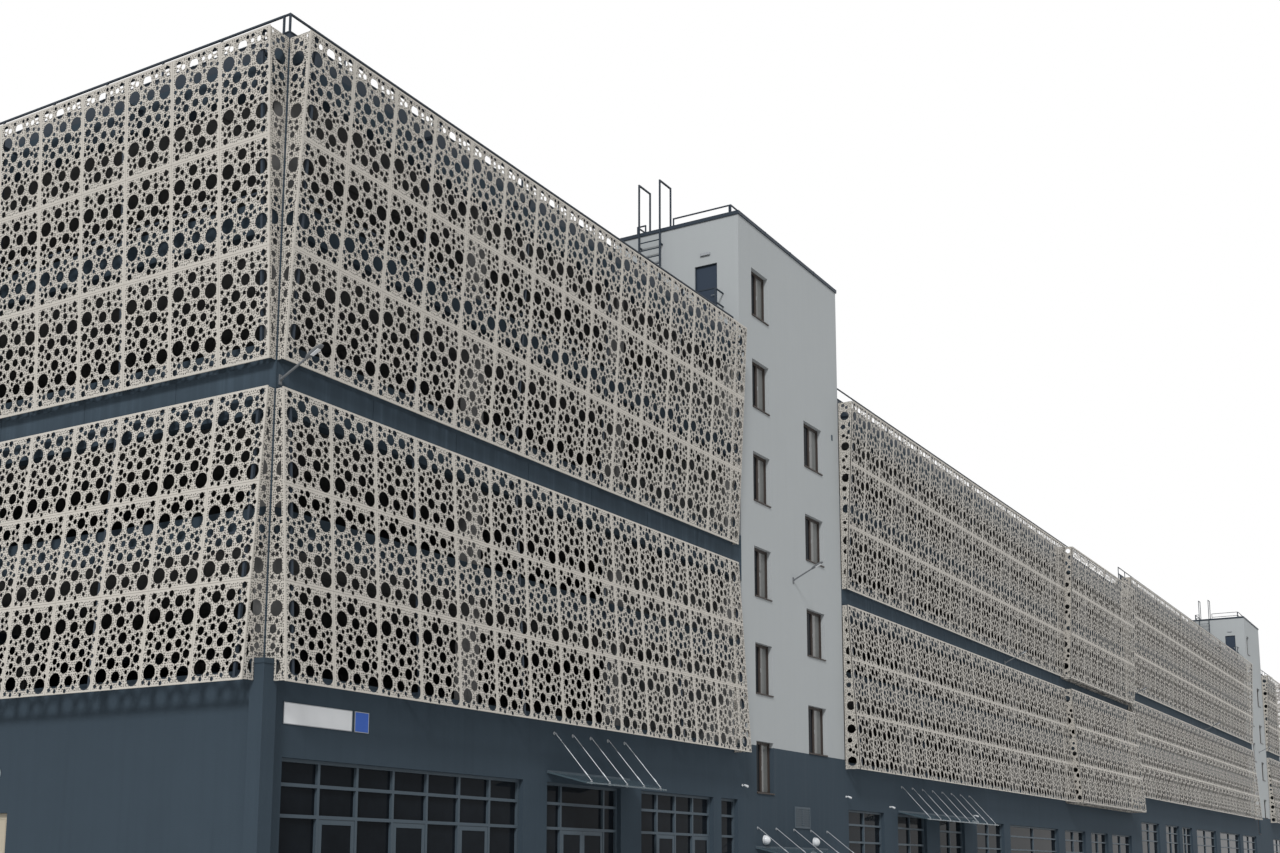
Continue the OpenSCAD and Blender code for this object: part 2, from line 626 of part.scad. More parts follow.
// Shopfront frame in an opening from x0 to x1 with given bar places, drawn as one fused lattice
module frame_lattice(x0, x1, z0, z1, marks, doors) {
    translate([0, shop_set + bar_d, 0]) rotate([90, 0, 0]) linear_extrude(bar_d) difference() {
        union() {
            for (x = marks) translate([x - bar_w / 2, z0]) square([bar_w, z1 - z0]);
            for (x = [x0, x1 - bar_w]) translate([x, z0]) square([bar_w, z1 - z0]);
            for (z = [z0, z1 - bar_w, door_h + z0 - floor_t, transom_h + z0 - floor_t])
                translate([x0, z]) square([x1 - x0, bar_w]);
        }
        for (d = doors) translate([d[0] + bar_w / 2, z0 - 1])
            square([d[1] - d[0] - bar_w, door_h - z0 + 1]);
    }
}
module plain_frames(w, shops) for (s = shops)
    frame_lattice(w[0] + s[0], w[0] + s[1], floor_t + w[2], shop_head + w[2],
        [w[0] + (s[0] + s[1]) / 2], []);
module door_front(shop, bars, doors) frame_lattice(shop[0], shop[1], floor_t, shop_head, bars, doors);
module shop_frames() color("black") from_corner() {
    door_front(corner_shops[0], [for (k = [1:first_bays - 1]) bar_place(corner_shops[0], first_bays, k)],
        first_doors);
    door_front(corner_shops[1], pair_door, [pair_door]);
    door_front(corner_shops[2], [for (k = [1:third_bays - 1]) bar_place(corner_shops[2], third_bays, k)],
        third_doors);
    door_front(corner_shops[3], [], []);
    plain_frames(front_walls[1], middle_shops);
    plain_frames(front_walls[2], long_shops);
    plain_frames(front_walls[3], end_shops);
    on_back() {
        plain_frames(back_walls[0], even_shops(back_walls[0][1] - back_walls[0][0]));
        plain_frames(back_walls[1], glazed_back_shops);
    }
}
glass_y = shop_set + bar_d;
module pane(x0, x1, z0, z1) block(x0, x1, glass_y, glass_y + glass_t, z0, z1);
module plain_panes(w, shops) for (s = shops)
    pane(w[0] + s[0], w[0] + s[1], floor_t + w[2], shop_head + w[2]);
// Glass of a shopfront with doors: one sheet, cut out from the threshold to the transom at each door
module cut_pane(shop, doors) translate([0, glass_y + glass_t, 0]) rotate([90, 0, 0]) linear_extrude(glass_t)
    difference() {
        translate([shop[0], floor_t]) square([shop[1] - shop[0], shop_head - floor_t]);
        for (d = doors) translate([d[0] + bar_w / 4, floor_t - 1])
            square([d[1] - d[0] - bar_w / 2, door_h + bar_w / 2 - floor_t + 1]);
    }
module shop_glass() color("lightblue", 0.5) from_corner() {
    cut_pane(corner_shops[0], first_doors);
    cut_pane(corner_shops[1], [pair_door]);
    cut_pane(corner_shops[2], third_doors);
    cut_pane(corner_shops[3], []);
    plain_panes(front_walls[1], middle_shops);
    plain_panes(front_walls[2], long_shops);
    plain_panes(front_walls[3], end_shops);
    on_back() {
        plain_panes(back_walls[0], even_shops(back_walls[0][1] - back_walls[0][0]));
        plain_panes(back_walls[1], glazed_back_shops);
    }
}

// Door leaf in the shopfront plane, from x0 to x1, hung on one side, with its glazed cut-out and pull
module leaf(x0, x1, pull_x) {
    z0 = floor_t + leaf_gap;
    z1 = door_h - leaf_gap;
    stile = 9;
    pane_y = shop_set + 1 + (leaf_t - glass_t) / 2;
    translate([0, shop_set + 1 + leaf_t, 0]) rotate([90, 0, 0]) linear_extrude(leaf_t) difference() {
        translate([x0, z0]) square([x1 - x0, z1 - z0]);
        translate([x0 + stile, z0 + 2 * stile]) square([x1 - x0 - 2 * stile, z1 - z0 - 3 * stile]);
    }
    block(x0 + stile, x1 - stile, pane_y, pane_y + glass_t, z0 + 2 * stile, z1 - stile);
    block(pull_x - 1.5, pull_x + 1.5, shop_set - 2, shop_set + 1, z0 + 80, z0 + 130);
}
module single_leaf(d) leaf(d[0] + bar_w / 2 + leaf_gap, d[1] - bar_w / 2 - leaf_gap, d[1] - 10);
module shop_door_1() color("dimgray") from_corner() single_leaf(first_doors[0]);
module shop_door_2() color("dimgray") from_corner() single_leaf(first_doors[1]);
module shop_door_3() color("dimgray") from_corner() single_leaf(first_doors[2]);
module shop_door_4() color("dimgray") from_corner() single_leaf(third_doors[0]);
module shop_door_5() color("dimgray") from_corner() single_leaf(third_doors[1]);
pair_mid = (pair_door[0] + pair_door[1]) / 2;
module pair_door_left() color("dimgray") from_corner()
    leaf(pair_door[0] + bar_w / 2 + leaf_gap, pair_mid - leaf_gap / 2, pair_mid - 5);
module pair_door_right() color("dimgray") from_corner()
    leaf(pair_mid + leaf_gap / 2, pair_door[1] - bar_w / 2 - leaf_gap, pair_mid + 5);
module side_door() color("tan") from_corner() {
    block(shop_set, shop_set + leaf_t, side_door_y + leaf_gap, side_door_end - leaf_gap, floor_t + leaf_gap,
        side_door_h - leaf_gap);
    block(shop_set - 4, shop_set, side_door_end - 14, side_door_end - 11, 100, 112);
}

// Glass canopies that fall outwards on tie rods: start along the front, length, height at the wall,
// rise of the rods over that height, rods, first rod, rod pitch
canopy_reach = 116;
canopy_drop = 29;
canopy_t = 4;
rod_out = canopy_reach - 6;
rod_foot = canopy_drop * rod_out / canopy_reach;
shop_canopy_z = shop_head + 26;
door_canopy_z = floor_t + 220;
canopy_list = [
    [corner_shops[1][0] - 2, 400, shop_canopy_z, 95, 5, corner_shops[1][0] + 29, 86],
    [tower_1_x + 80, 560, door_canopy_z, 58, 5, tower_1_x + 95, 136],
    [middle_wall_x + 515, 890, shop_canopy_z - 14, 92, 8, middle_wall_x + 560, 116]];
rod_r = 1.2;
module canopies() color("lightsteelblue") from_corner() for (c = canopy_list)
    translate([c[0], 0, c[2]]) rotate([90, 0, 90]) linear_extrude(c[1])
        polygon([[0, 0], [-canopy_reach, -canopy_drop],
            [-canopy_reach, -canopy_drop - canopy_t], [0, -canopy_t]]);
module canopy_rods() color("silver") from_corner() for (c = canopy_list, k = [0:c[4] - 1])
    translate([c[5] + k * c[6], 0, c[2]]) intersection() {
        translate([0, -rod_out, -rod_foot]) rotate([-atan(rod_out / (c[3] + rod_foot)), 0, 0])
            translate([0, 0, -4]) cylinder(h = norm([rod_out, c[3] + rod_foot]) + 8, r = rod_r, $fn = 8);
        translate([-5, 0, 0]) rotate([90, 0, 90]) linear_extrude(10)
            polygon([[0, 0], [-canopy_reach, -canopy_drop], [-canopy_reach, c[3] + 20], [0, c[3] + 20]]);
    }

// Lamp arms that reach out over the pavement: place along the front, height
lamp_z = waist_low + 19;
lamp_marks = [[12, lamp_z], [tower_1_x + 392, lamp_z], [middle_wall_x + 1967, lamp_z],
    [step_x + 65, lamp_z + rise], [step_x + 2565, lamp_z + rise], [tower_2_x + 392, lamp_z + rise]];
lamp_arm = 90;
arm_r = 2.5;
arm_rise = 26;
arm_seat = 1.3;
module street_lamps() color("gray") from_corner() for (l = lamp_marks) translate([l[0], 0, l[1]]) {
    block(-4, 4, -2, 0, -10, 10);
    rotate([90 - arm_rise, 0, 0]) translate([0, 0, arm_seat])
        cylinder(h = lamp_arm - arm_seat, r = arm_r, $fn = 16);
    translate([0, -78, 38]) rotate([-arm_rise, 0, 0]) translate([-7, -36, -2]) cube([14, 40, 6]);
}
// Domed round lamp turned from one outline, standing up from z = 0
dome_r = 15.5;
rim_h = 4;
dome_h = 15;
module round_lamp() rotate_extrude($fn = 48) polygon(concat([[0, 0], [dome_r, 0]],
    [for (a = [0:15:90]) [dome_r * cos(a), rim_h + dome_h * sin(a)]]));
module wall_lamps() color("white") from_corner() {
    for (x = [146, 532]) translate([tower_1_x + x, 0, door_canopy_z + 22]) rotate([90, 0, 0]) round_lamp();
    translate([0, side_door_y + 46, side_door_h + 85]) rotate([0, -90, 0]) round_lamp();
}
camera_marks = [[tower_1_x - 10, shop_head + 44], [middle_wall_x + 5, shop_head + 44],
    [middle_wall_x + 430, shop_head + 24], [middle_wall_x + 1430, shop_head + 24]];
module cameras() color("white") from_corner() for (c = camera_marks) translate([c[0], 0, c[1]]) {
    rotate([90, 0, 0]) cylinder(h = 8, r = 2.5, $fn = 16);
    translate([-3, -22, -3]) cube([6, 14, 6]);
}

// Louvred vent in two columns over the tower's canopy, and a small plate near the top window
louvre = [122, 70];
louvre_slats = 8;
module wall_vents() color("gray") from_corner() {
    translate([tower_1_x + 374, 0, door_canopy_z + 65]) rotate([90, 0, 0]) {
        linear_extrude(1) square(louvre);
        translate([0, 0, 1]) linear_extrude(2) difference() {
            square(louvre);
            for (x = [5, louvre[0] / 2 + 2], k = [0:louvre_slats - 1])
                translate([x, 5 + (louvre[1] - 10) * (k + 0.25) / louvre_slats])
                    square([louvre[0] / 2 - 7, (louvre[1] - 10) / louvre_slats / 2]);
        }
    }
    translate([tower_1_x + tower_w - 65, -2, tower_h - 592]) cube([10, 2, 20]);
}

ground_floor();
parking_decks();
facade_columns();
edge_beams_long();
edge_beams_ends();
ground_piers();
shop_lintels();
end_walls();
side_door_lintel();
plinths();
corner_column();
front_screen_upper();
front_screen_lower();
left_screen_upper();
left_screen_lower();
far_screens_upper();
far_screens_lower();
back_screens();
right_screens();
screen_returns();
bay_soffits();
screen_frames_long();
screen_frames_ends();
screen_brackets();
tower_front_walls();
tower_side_walls();
tower_back_walls();
tower_floors();
tower_copings();
tower_window_frames();
tower_glass();
tower_doors();
roof_doors();
roof_landings();
roof_ladders();
tower_rails();
shop_frames();
shop_glass();
shop_door_1();
shop_door_2();
shop_door_3();
shop_door_4();
shop_door_5();
pair_door_left();
pair_door_right();
side_door();
canopies();
canopy_rods();
street_lamps();
wall_lamps();
cameras();
wall_vents();
roof_rails_long();
roof_rails_ends();
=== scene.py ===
"""Dresses the 1:10 car park model: perforated screens, render, glass, fittings and a plain studio."""
import json
import math
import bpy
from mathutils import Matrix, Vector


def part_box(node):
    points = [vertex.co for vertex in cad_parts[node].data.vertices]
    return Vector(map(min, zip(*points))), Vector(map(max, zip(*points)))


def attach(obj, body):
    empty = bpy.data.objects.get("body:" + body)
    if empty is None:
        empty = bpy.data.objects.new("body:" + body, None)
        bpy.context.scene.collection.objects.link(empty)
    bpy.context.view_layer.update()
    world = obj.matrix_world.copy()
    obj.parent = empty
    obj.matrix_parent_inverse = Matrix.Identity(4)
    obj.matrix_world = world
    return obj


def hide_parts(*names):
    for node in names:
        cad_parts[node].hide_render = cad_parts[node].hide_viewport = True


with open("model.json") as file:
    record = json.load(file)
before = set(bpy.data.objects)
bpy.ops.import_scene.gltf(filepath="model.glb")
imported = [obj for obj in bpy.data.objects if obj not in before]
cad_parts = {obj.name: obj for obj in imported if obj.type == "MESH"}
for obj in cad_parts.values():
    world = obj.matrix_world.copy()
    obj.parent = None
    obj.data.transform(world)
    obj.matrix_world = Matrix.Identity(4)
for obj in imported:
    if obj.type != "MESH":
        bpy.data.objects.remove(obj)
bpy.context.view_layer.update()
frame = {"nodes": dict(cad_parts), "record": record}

from types import SimpleNamespace

import bpy
import numpy as np
from bpy.props import FloatProperty, FloatVectorProperty, PointerProperty
from bpy.types import Operator, Panel, PropertyGroup
from mathutils import Matrix, Vector
from mathutils.geometry import delaunay_2d_cdt

bl_info = {
    "name": "Car park model",
    "version": (1, 0, 0),
    "blender": (4, 5, 0),
    "location": "View3D > Sidebar > Car park",
    "description": "Builds the visible pieces and finishes of the car park model",
    "category": "Object",
}

BUILDING = "building"

# Shapes are drawn in millimetres, and become metres when they are put into a mesh
MM = 0.001
WALL_LOW, WALL_HIGH = (np.array(corner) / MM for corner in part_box("ground_piers"))
UP = np.array((0.0, 0.0, 1.0))
PLAN_LENGTH, PLAN_DEPTH = (WALL_HIGH - WALL_LOW)[:2]
SCREEN_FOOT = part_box("front_screen_lower")[0][2] / MM
SCREEN_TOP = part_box("front_screen_upper")[1][2] / MM

# Top of the first tower, how much higher the right half of the building stands, and the low roof's edge
TOWER_TOP = 2292.0
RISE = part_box("tower_copings")[1][2] / MM - TOWER_TOP
ROOF_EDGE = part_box("edge_beams_long")[1][2] / MM - RISE

# Width of a cassette, rows of cassettes in a tier, and the number of cassettes along each stretch
CASSETTE = 140.0
ROWS = 3
CORNER_PANELS = 14.5
SIDE_PANELS = 12
MIDDLE_PANELS = (10, 11)
BAY_PANELS = 10.5
LONG_PANELS = 11
LONG_PARTS = 3
END_PANELS = 6
BACK_PANELS = (45, 52)

# Towers, and the plain gaps between a stretch of screen and what follows it
TOWER_W = 810.0
TOWER_D = 460.0
BLOCK_GAP = 5.0
CORNER_GAP = 60.0
BAY_GAP = 15.0
STEP_GAP = 25.0
LONG_GAP = 50.0

# Places along the front, from the near corner
TOWER_1 = CORNER_PANELS * CASSETTE + CORNER_GAP
MIDDLE = TOWER_1 + TOWER_W
MIDDLE_A = MIDDLE + BLOCK_GAP
MIDDLE_B = MIDDLE_A + MIDDLE_PANELS[0] * CASSETTE
MIDDLE_END = MIDDLE_B + MIDDLE_PANELS[1] * CASSETTE
BAY = MIDDLE_END + BAY_GAP
BAY_END = BAY + BAY_PANELS * CASSETTE
STEP = BAY_END + STEP_GAP
LONG = STEP + STEP_GAP
LONG_PART = LONG_PANELS * CASSETTE
LONG_END = LONG + LONG_PARTS * LONG_PART
TOWER_2 = LONG_END + LONG_GAP
END_WALL = TOWER_2 + TOWER_W
END_BLOCK = END_WALL + BLOCK_GAP

# Places along the back, from its own left corner
BACK_STEP = PLAN_LENGTH - STEP
BACK_HIGH_END = BACK_PANELS[0] * CASSETTE
BACK_LOW_START = PLAN_LENGTH - BACK_PANELS[1] * CASSETTE

# Towers: facade of the side wall towards the near corner, place along the front, and extra height
TOWERS = (("tower_1_side", TOWER_1, 0.0), ("tower_2_side", TOWER_2, RISE))

# Facades: lower left corner seen from outside, direction along, and direction out
CORNERS = {(x, y): np.array((x, y, 0.0))
           for x in (WALL_LOW[0], WALL_HIGH[0]) for y in (WALL_LOW[1], WALL_HIGH[1])}
FACADES = {
    "front": (CORNERS[WALL_LOW[0], WALL_LOW[1]], np.array((1, 0, 0)), np.array((0, -1, 0))),
    "left": (CORNERS[WALL_LOW[0], WALL_HIGH[1]], np.array((0, -1, 0)), np.array((-1, 0, 0))),
    "back": (CORNERS[WALL_HIGH[0], WALL_HIGH[1]], np.array((-1, 0, 0)), np.array((0, 1, 0))),
    "right": (CORNERS[WALL_HIGH[0], WALL_LOW[1]], np.array((0, 1, 0)), np.array((1, 0, 0))),
}
for side_wall, place, _ in TOWERS:
    FACADES[side_wall] = (FACADES["front"][0] + (place, 0, 0), *FACADES["left"][1:])

# Stretches of screen: facade, start, cassettes, whether it stands higher, whether it is the bay
MIDDLE_RUNS = [
    ("front", MIDDLE_A, MIDDLE_PANELS[0], 0, 0),
    ("front", MIDDLE_B, MIDDLE_PANELS[1], 0, 0),
    ("front", BAY, BAY_PANELS, 0, 1)]
FAR_RUNS = [("front", LONG + k * LONG_PART, LONG_PANELS, 1, 0) for k in range(LONG_PARTS)]
FAR_RUNS += [("front", END_BLOCK, END_PANELS, 1, 0)]
HIDDEN_RUNS = [
    ("back", 0.0, BACK_PANELS[0], 1, 0),
    ("back", BACK_LOW_START, BACK_PANELS[1], 0, 0),
    ("right", 0.0, SIDE_PANELS, 1, 0)]

# Walls: facade, start, end, whether it stands higher
WALLS = [
    ("front", 0.0, TOWER_1, 0), ("front", MIDDLE, STEP, 0), ("front", STEP, TOWER_2, 1),
    ("front", END_WALL, PLAN_LENGTH, 1), ("left", 0.0, PLAN_DEPTH, 0), ("right", 0.0, PLAN_DEPTH, 1),
    ("back", 0.0, BACK_STEP, 1), ("back", BACK_STEP, PLAN_LENGTH, 0)]

# Closed ends of the screens: facade, start, end, whether higher, whether bay, notched end, detail
RETURNS = [
    ("front", 0.0, CORNER_PANELS * CASSETTE, 0, 0, "start", "near"),
    ("left", 0.0, SIDE_PANELS * CASSETTE, 0, 0, "end", "near"),
    ("front", MIDDLE_A, MIDDLE_END, 0, 0, "", "hidden"),
    ("front", BAY, BAY_END, 0, 1, "", "hidden"),
    ("front", LONG, LONG_END, 1, 0, "", "hidden"),
    ("front", END_BLOCK, PLAN_LENGTH - BLOCK_GAP, 1, 0, "", "hidden"),
    ("right", 0.0, SIDE_PANELS * CASSETTE, 1, 0, "", "hidden"),
    ("back", 0.0, BACK_HIGH_END, 1, 0, "", "hidden"),
    ("back", BACK_LOW_START, PLAN_LENGTH, 0, 0, "", "hidden")]

# Holes of one cassette by radius: places across and up, in a cassette CASSETTE wide and DRAWN_ROW high
DRAWN_ROW = {"upper": 233.0, "lower": 197.4}
HOLES = {
    "upper": {
        16.5: ((24.6, 178.9), (117.7, 169.5), (24.6, 63.4), (117.7, 54.5)),
        12.4: ((64, 207.8), (74.9, 173.7), (48.4, 143.9), (90.8, 143.9), (62.3, 92.6), (74.3, 59.2),
               (50.3, 28.7), (88.3, 29.8)),
        9.1: ((17.9, 138.4), (41.3, 115.9), (68.8, 121.2), (97.6, 117), (123.5, 95.9)),
        6.8: ((19, 218.7), (124.1, 219.8), (93.9, 198.7), (123.5, 130), (18.5, 103.9), (90.5, 89.8),
              (16.8, 12.8), (74.9, 13), (121.8, 15)),
        5.8: ((32.4, 210), (110.1, 211.4), (32.4, 95.6), (109.2, 137), (28.5, 25.6), (108.7, 22.6)),
        4.5: ((49, 223.4), (78.3, 222.6), (92.5, 223.4), (91.6, 212.3), (16.5, 204.8), (126.9, 204.8),
              (44.5, 197.6), (114.6, 194.2), (132.2, 189.5), (58.4, 187.3), (95, 183.7), (54.5, 174.8),
              (45.3, 163.7), (9.9, 158.9), (27.4, 153), (71.7, 147), (119, 144), (131.6, 143.7),
              (32.7, 129.5), (9.3, 124.5), (21.5, 118.4), (119.6, 115.6), (131.6, 109), (83, 106.7),
              (108.4, 103.4), (9.3, 89.5), (21.3, 90), (45, 81.7), (77, 78), (99.5, 77.6), (114, 80.6),
              (131.6, 74.8), (59, 72.6), (88.3, 72.6), (54, 59.5), (44, 49), (9.3, 42.8), (26.5, 39),
              (70.7, 38), (15, 28.4), (125.2, 29), (91.4, 10)),
    },
    "lower": {
        16.6: ((25.5, 144), (119, 135), (26, 29.5), (119.5, 20.5)),
        12.3: ((53.3, 168.5), (91.7, 169.5), (67.7, 140), (78.6, 105.8), (52, 55), (96.3, 54.3), (69, 25.8)),
        9.2: ((18.7, 103.8), (44.7, 81.8), (74, 77.5), (100.6, 83.3), (124.4, 60.5)),
        6.8: ((124.4, 94.3), (50.3, 108.8), (18.7, 185), (68, 186.8), (125.9, 185.8), (19.7, 70)),
        5.8: ((33, 175), (113.7, 173), (109.4, 103.3), (32, 62)),
        4.5: ((15.9, 169.5), (50.8, 187.5), (69.8, 160.8), (127, 169.5), (115.8, 159.5), (132.7, 154.3),
              (98, 148.8), (88.2, 138.8), (82.9, 125.8), (52.8, 125.8), (42, 121.8), (27.8, 118.3),
              (10.6, 123.8), (64.7, 120), (97, 117), (133, 109.3), (120.8, 109.3), (33.6, 95.5),
              (10.6, 89.3), (22.2, 84.5), (58.9, 91.8), (121.6, 80.5), (133.5, 75), (110.2, 68.8),
              (10.9, 55), (21.5, 54.5), (71, 51.8), (116, 46.3), (133.2, 40.8), (98.3, 34.5), (89.2, 23.8),
              (84.9, 11.8), (60.4, 5.8), (48.3, 15.8), (29.3, 6.8), (11, 10)),
    },
}

# Detail by distance: smallest radius that is cut, and a hole's sides as a number plus a share of its radius
DETAIL = {
    "near": (0.0, 3.2, 1.0),
    "middle": (0.0, 3.4, 0.55),
    "far": (0.0, 3.2, 0.42),
    "hidden": (5.0, 3.2, 0.42),
}

# Notch at the foot of the two end plates at the near corner, round the corner column: width and top
NOTCH = (26.0, 562.0)


class ScreenSizes(PropertyGroup):
    """Sizes of the two tiers of perforated cassettes"""
    waist_low: FloatProperty(name="Waist low", description="Upper edge of the lower tier",
                             default=1.106, unit="LENGTH")
    waist_high: FloatProperty(name="Waist high", description="Lower edge of the upper tier",
                              default=1.162, unit="LENGTH")
    waist_gap: FloatProperty(name="Waist gap", description="From the wall to the sheet at the waist",
                             default=0.018, unit="LENGTH")
    lip_gap: FloatProperty(name="Lip gap", description="From the wall to the sheet at its outer lips",
                           default=0.055, unit="LENGTH")
    bay_out: FloatProperty(name="Bay out", description="How much further the projecting bay stands out",
                           default=0.030, unit="LENGTH")
    depth: FloatProperty(name="Depth", description="Depth of a cassette's folded edge",
                         default=0.003, unit="LENGTH")
    skin: FloatProperty(name="Skin", description="Thickness of the perforated face",
                        default=0.0003, unit="LENGTH")
    joint: FloatProperty(name="Joint", description="Clear joint between two cassettes",
                         default=0.0007, unit="LENGTH")
    fold: FloatProperty(name="Fold", description="Plain metal beside a cut edge of the pattern",
                        default=0.0045, unit="LENGTH")
    cover: FloatProperty(name="Cover", description="Width of the plain strip over a seam",
                         default=0.008, unit="LENGTH")
    upstand: FloatProperty(name="Upstand", description="Height of the low wall along the roof edge",
                           default=0.035, unit="LENGTH")


class FittingSizes(PropertyGroup):
    """Sizes of the small fittings"""
    rosette: FloatProperty(name="Rosette", description="Radius of a tie rod's round plate",
                           default=0.0045, unit="LENGTH")
    rod: FloatProperty(name="Rod", description="Radius of a tie rod", default=0.0012, unit="LENGTH")
    pull: FloatProperty(name="Pull", description="Radius of a door's pull bar",
                        default=0.0022, unit="LENGTH")
    sash: FloatProperty(name="Sash", description="Width of a window sash bar",
                        default=0.0035, unit="LENGTH")
    band_panel: FloatProperty(name="Band panel", description="Length of one panel of the waist band",
                              default=0.28, unit="LENGTH")


class Finishes(PropertyGroup):
    """Colours of the finishes"""
    cream: FloatVectorProperty(name="Cream", description="Powder coat of the screens",
                               default=(0.555, 0.525, 0.475), size=3, subtype="COLOR")
    dark_render: FloatVectorProperty(name="Dark render", description="Ground floor and bands",
                                     default=(0.046, 0.066, 0.086), size=3, subtype="COLOR")
    pale_render: FloatVectorProperty(name="Pale render", description="Stair towers",
                                     default=(0.43, 0.455, 0.465), size=3, subtype="COLOR")
    concrete: FloatVectorProperty(name="Concrete", description="Decks and columns",
                                  default=(0.17, 0.17, 0.168), size=3, subtype="COLOR")
    steel: FloatVectorProperty(name="Steel", description="Painted rails, posts and copings",
                               default=(0.030, 0.042, 0.058), size=3, subtype="COLOR")
    frames: FloatVectorProperty(name="Frames", description="Shopfront frames and doors",
                                default=(0.066, 0.090, 0.112), size=3, subtype="COLOR")
    window_frames: FloatVectorProperty(name="Window frames", description="Frames of the tower windows",
                                       default=(0.050, 0.040, 0.035), size=3, subtype="COLOR")
    arms: FloatVectorProperty(name="Arms", description="Lamp arms and rods", default=(0.34, 0.36, 0.38),
                              size=3, subtype="COLOR")
    lamp_grey: FloatVectorProperty(name="Lamp grey", description="Street lamps", default=(0.15, 0.16, 0.17),
                                   size=3, subtype="COLOR")
    beige: FloatVectorProperty(name="Beige", description="Side door", default=(0.46, 0.41, 0.32),
                               size=3, subtype="COLOR")
    slate: FloatVectorProperty(name="Slate", description="Roof doors", default=(0.030, 0.045, 0.070),
                               size=3, subtype="COLOR")
    blue: FloatVectorProperty(name="Blue", description="Small plate on the corner",
                              default=(0.035, 0.12, 0.50), size=3, subtype="COLOR")
    white: FloatVectorProperty(name="White", description="Lamps, cameras and the plain plate",
                               default=(0.74, 0.76, 0.78), size=3, subtype="COLOR")
    # Painted shade: near-black colour of the sheet behind the hidden screens, standing for the unlit decks
    painted_shade: FloatVectorProperty(name="Shade", description="Lining behind the hidden screens",
                                default=(0.012, 0.013, 0.015), size=3, subtype="COLOR")
    # Painted shade: the shopfront glass is near black, standing for the unlit rooms behind it
    glass: FloatVectorProperty(name="Glass", description="Shopfront glass", default=(0.010, 0.013, 0.017),
                               size=3, subtype="COLOR")


class Studio(PropertyGroup):
    """Camera and light"""
    lens: FloatProperty(name="Lens", description="Focal length on a 36 mm wide frame", default=42.951)
    shift_x: FloatProperty(name="Shift across", description="Sideways shift of the lens", default=0.02695)
    shift_y: FloatProperty(name="Shift up", description="Upward shift of the lens", default=0.15)
    yaw: FloatProperty(name="Yaw", description="Turn from the long front's direction towards its depth",
                       default=math.radians(31.2906), subtype="ANGLE")
    pitch: FloatProperty(name="Pitch", description="Tilt of the camera upwards",
                         default=math.radians(9.3493), subtype="ANGLE")
    roll: FloatProperty(name="Roll", description="Roll of the camera", default=math.radians(0.2698),
                        subtype="ANGLE")
    place: FloatVectorProperty(name="Place", description="Where the camera stands",
                               default=(-9.0113, -2.9218, 0.1621), size=3, subtype="TRANSLATION")
    sky: FloatProperty(name="Sky", description="Strength of the soft light from all round", default=0.52)
    key: FloatProperty(name="Key", description="Strength of the soft light from the near side", default=1.9)
    floor: FloatVectorProperty(name="Floor", description="Colour of the floor", default=(0.72, 0.72, 0.72),
                               size=3, subtype="COLOR")


def group_of(name):
    """The settings that the sidebar shows under one heading."""
    return getattr(bpy.context.scene, "car_park_" + name)


def sizes_of(name):
    """The lengths of one heading in millimetres, the unit that shapes are drawn in."""
    group = group_of(name)
    return SimpleNamespace(**{field: getattr(group, field) / MM for field in group.__annotations__})


# Shapes are (points, triangles, quads) as whole arrays


def shape(points, triangles=None, quads=None):
    """A shape from its points and whichever faces it has."""
    none = np.zeros((0, 4), dtype=np.int64)
    return (np.asarray(points, dtype=float), none[:, :3] if triangles is None else np.asarray(triangles),
            none if quads is None else np.asarray(quads))


def merged(shapes):
    """Several shapes as one: points one after another, and faces counted on by the points before them."""
    starts = np.cumsum([0] + [len(s[0]) for s in shapes])
    return (np.vstack([s[0] for s in shapes]),
            np.vstack([s[1] + start for s, start in zip(shapes, starts)]),
            np.vstack([s[2] + start for s, start in zip(shapes, starts)]))


def repeated(one, offsets):
    """One shape at each offset: every point plus every offset, and faces counted on copy by copy."""
    offsets = np.asarray(offsets, dtype=float)
    start = (np.arange(len(offsets)) * len(one[0]))[:, None, None]
    points = (one[0][None] + offsets[:, None]).reshape(-1, 3)
    return points, (one[1][None] + start).reshape(-1, 3), (one[2][None] + start).reshape(-1, 4)


def moved(one, change):
    """A shape with its points put through a function of the whole array."""
    return change(one[0]), one[1], one[2]


def shifted(one, *offset):
    """A shape moved by an offset."""
    return moved(one, lambda p: p + np.array(offset, float))


def on_facade(name, one):
    """A shape drawn as (along, up, out) of a facade, in the model's place: the facade's corner plus each
    coordinate times its direction."""
    origin, along, out = FACADES[name]
    return moved(one, lambda p: origin + p[:, :1] * along + p[:, 1:2] * UP + p[:, 2:] * out)


def aimed(one, tilt, place):
    """A shape whose own z axis is tilted from straight out of the wall towards up by an angle, at a place:
    x stays along the wall, and y and z are turned together by the cosine and sine of the angle."""
    cosine, sine = math.cos(tilt), math.sin(tilt)
    turn = np.array([[1, 0, 0], [0, cosine, -sine], [0, sine, cosine]])
    return moved(one, lambda p: p @ turn + np.array(place, float))


def add_piece(name, one, finish, slot, body=BUILDING, uv=None, smooth=False):
    """Puts a shape into a mesh object that rides on a body and wears a finish."""
    points, triangles, quads = one
    corners = np.concatenate([triangles.ravel(), quads.ravel()]).astype(np.int32)
    sizes = np.concatenate([np.full(len(triangles), 3), np.full(len(quads), 4)])
    starts = np.concatenate([[0], np.cumsum(sizes)[:-1]]).astype(np.int32)
    mesh = bpy.data.meshes.new(name)
    mesh.vertices.add(len(points))
    mesh.vertices.foreach_set("co", (points * MM).astype(np.float32).ravel())
    mesh.loops.add(len(corners))
    mesh.loops.foreach_set("vertex_index", corners)
    mesh.polygons.add(len(sizes))
    mesh.polygons.foreach_set("loop_start", starts)
    mesh.polygons.foreach_set("use_smooth", np.full(len(sizes), smooth))
    mesh.update(calc_edges=True)
    if uv is not None:
        layer = mesh.uv_layers.new(name="UVMap")
        layer.uv.foreach_set("vector", (uv[corners] * MM).astype(np.float32).ravel())
    mesh.materials.append(finish)
    piece = bpy.data.objects.new(name, mesh)
    bpy.context.scene.collection.objects.link(piece)
    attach(piece, body)
    return piece


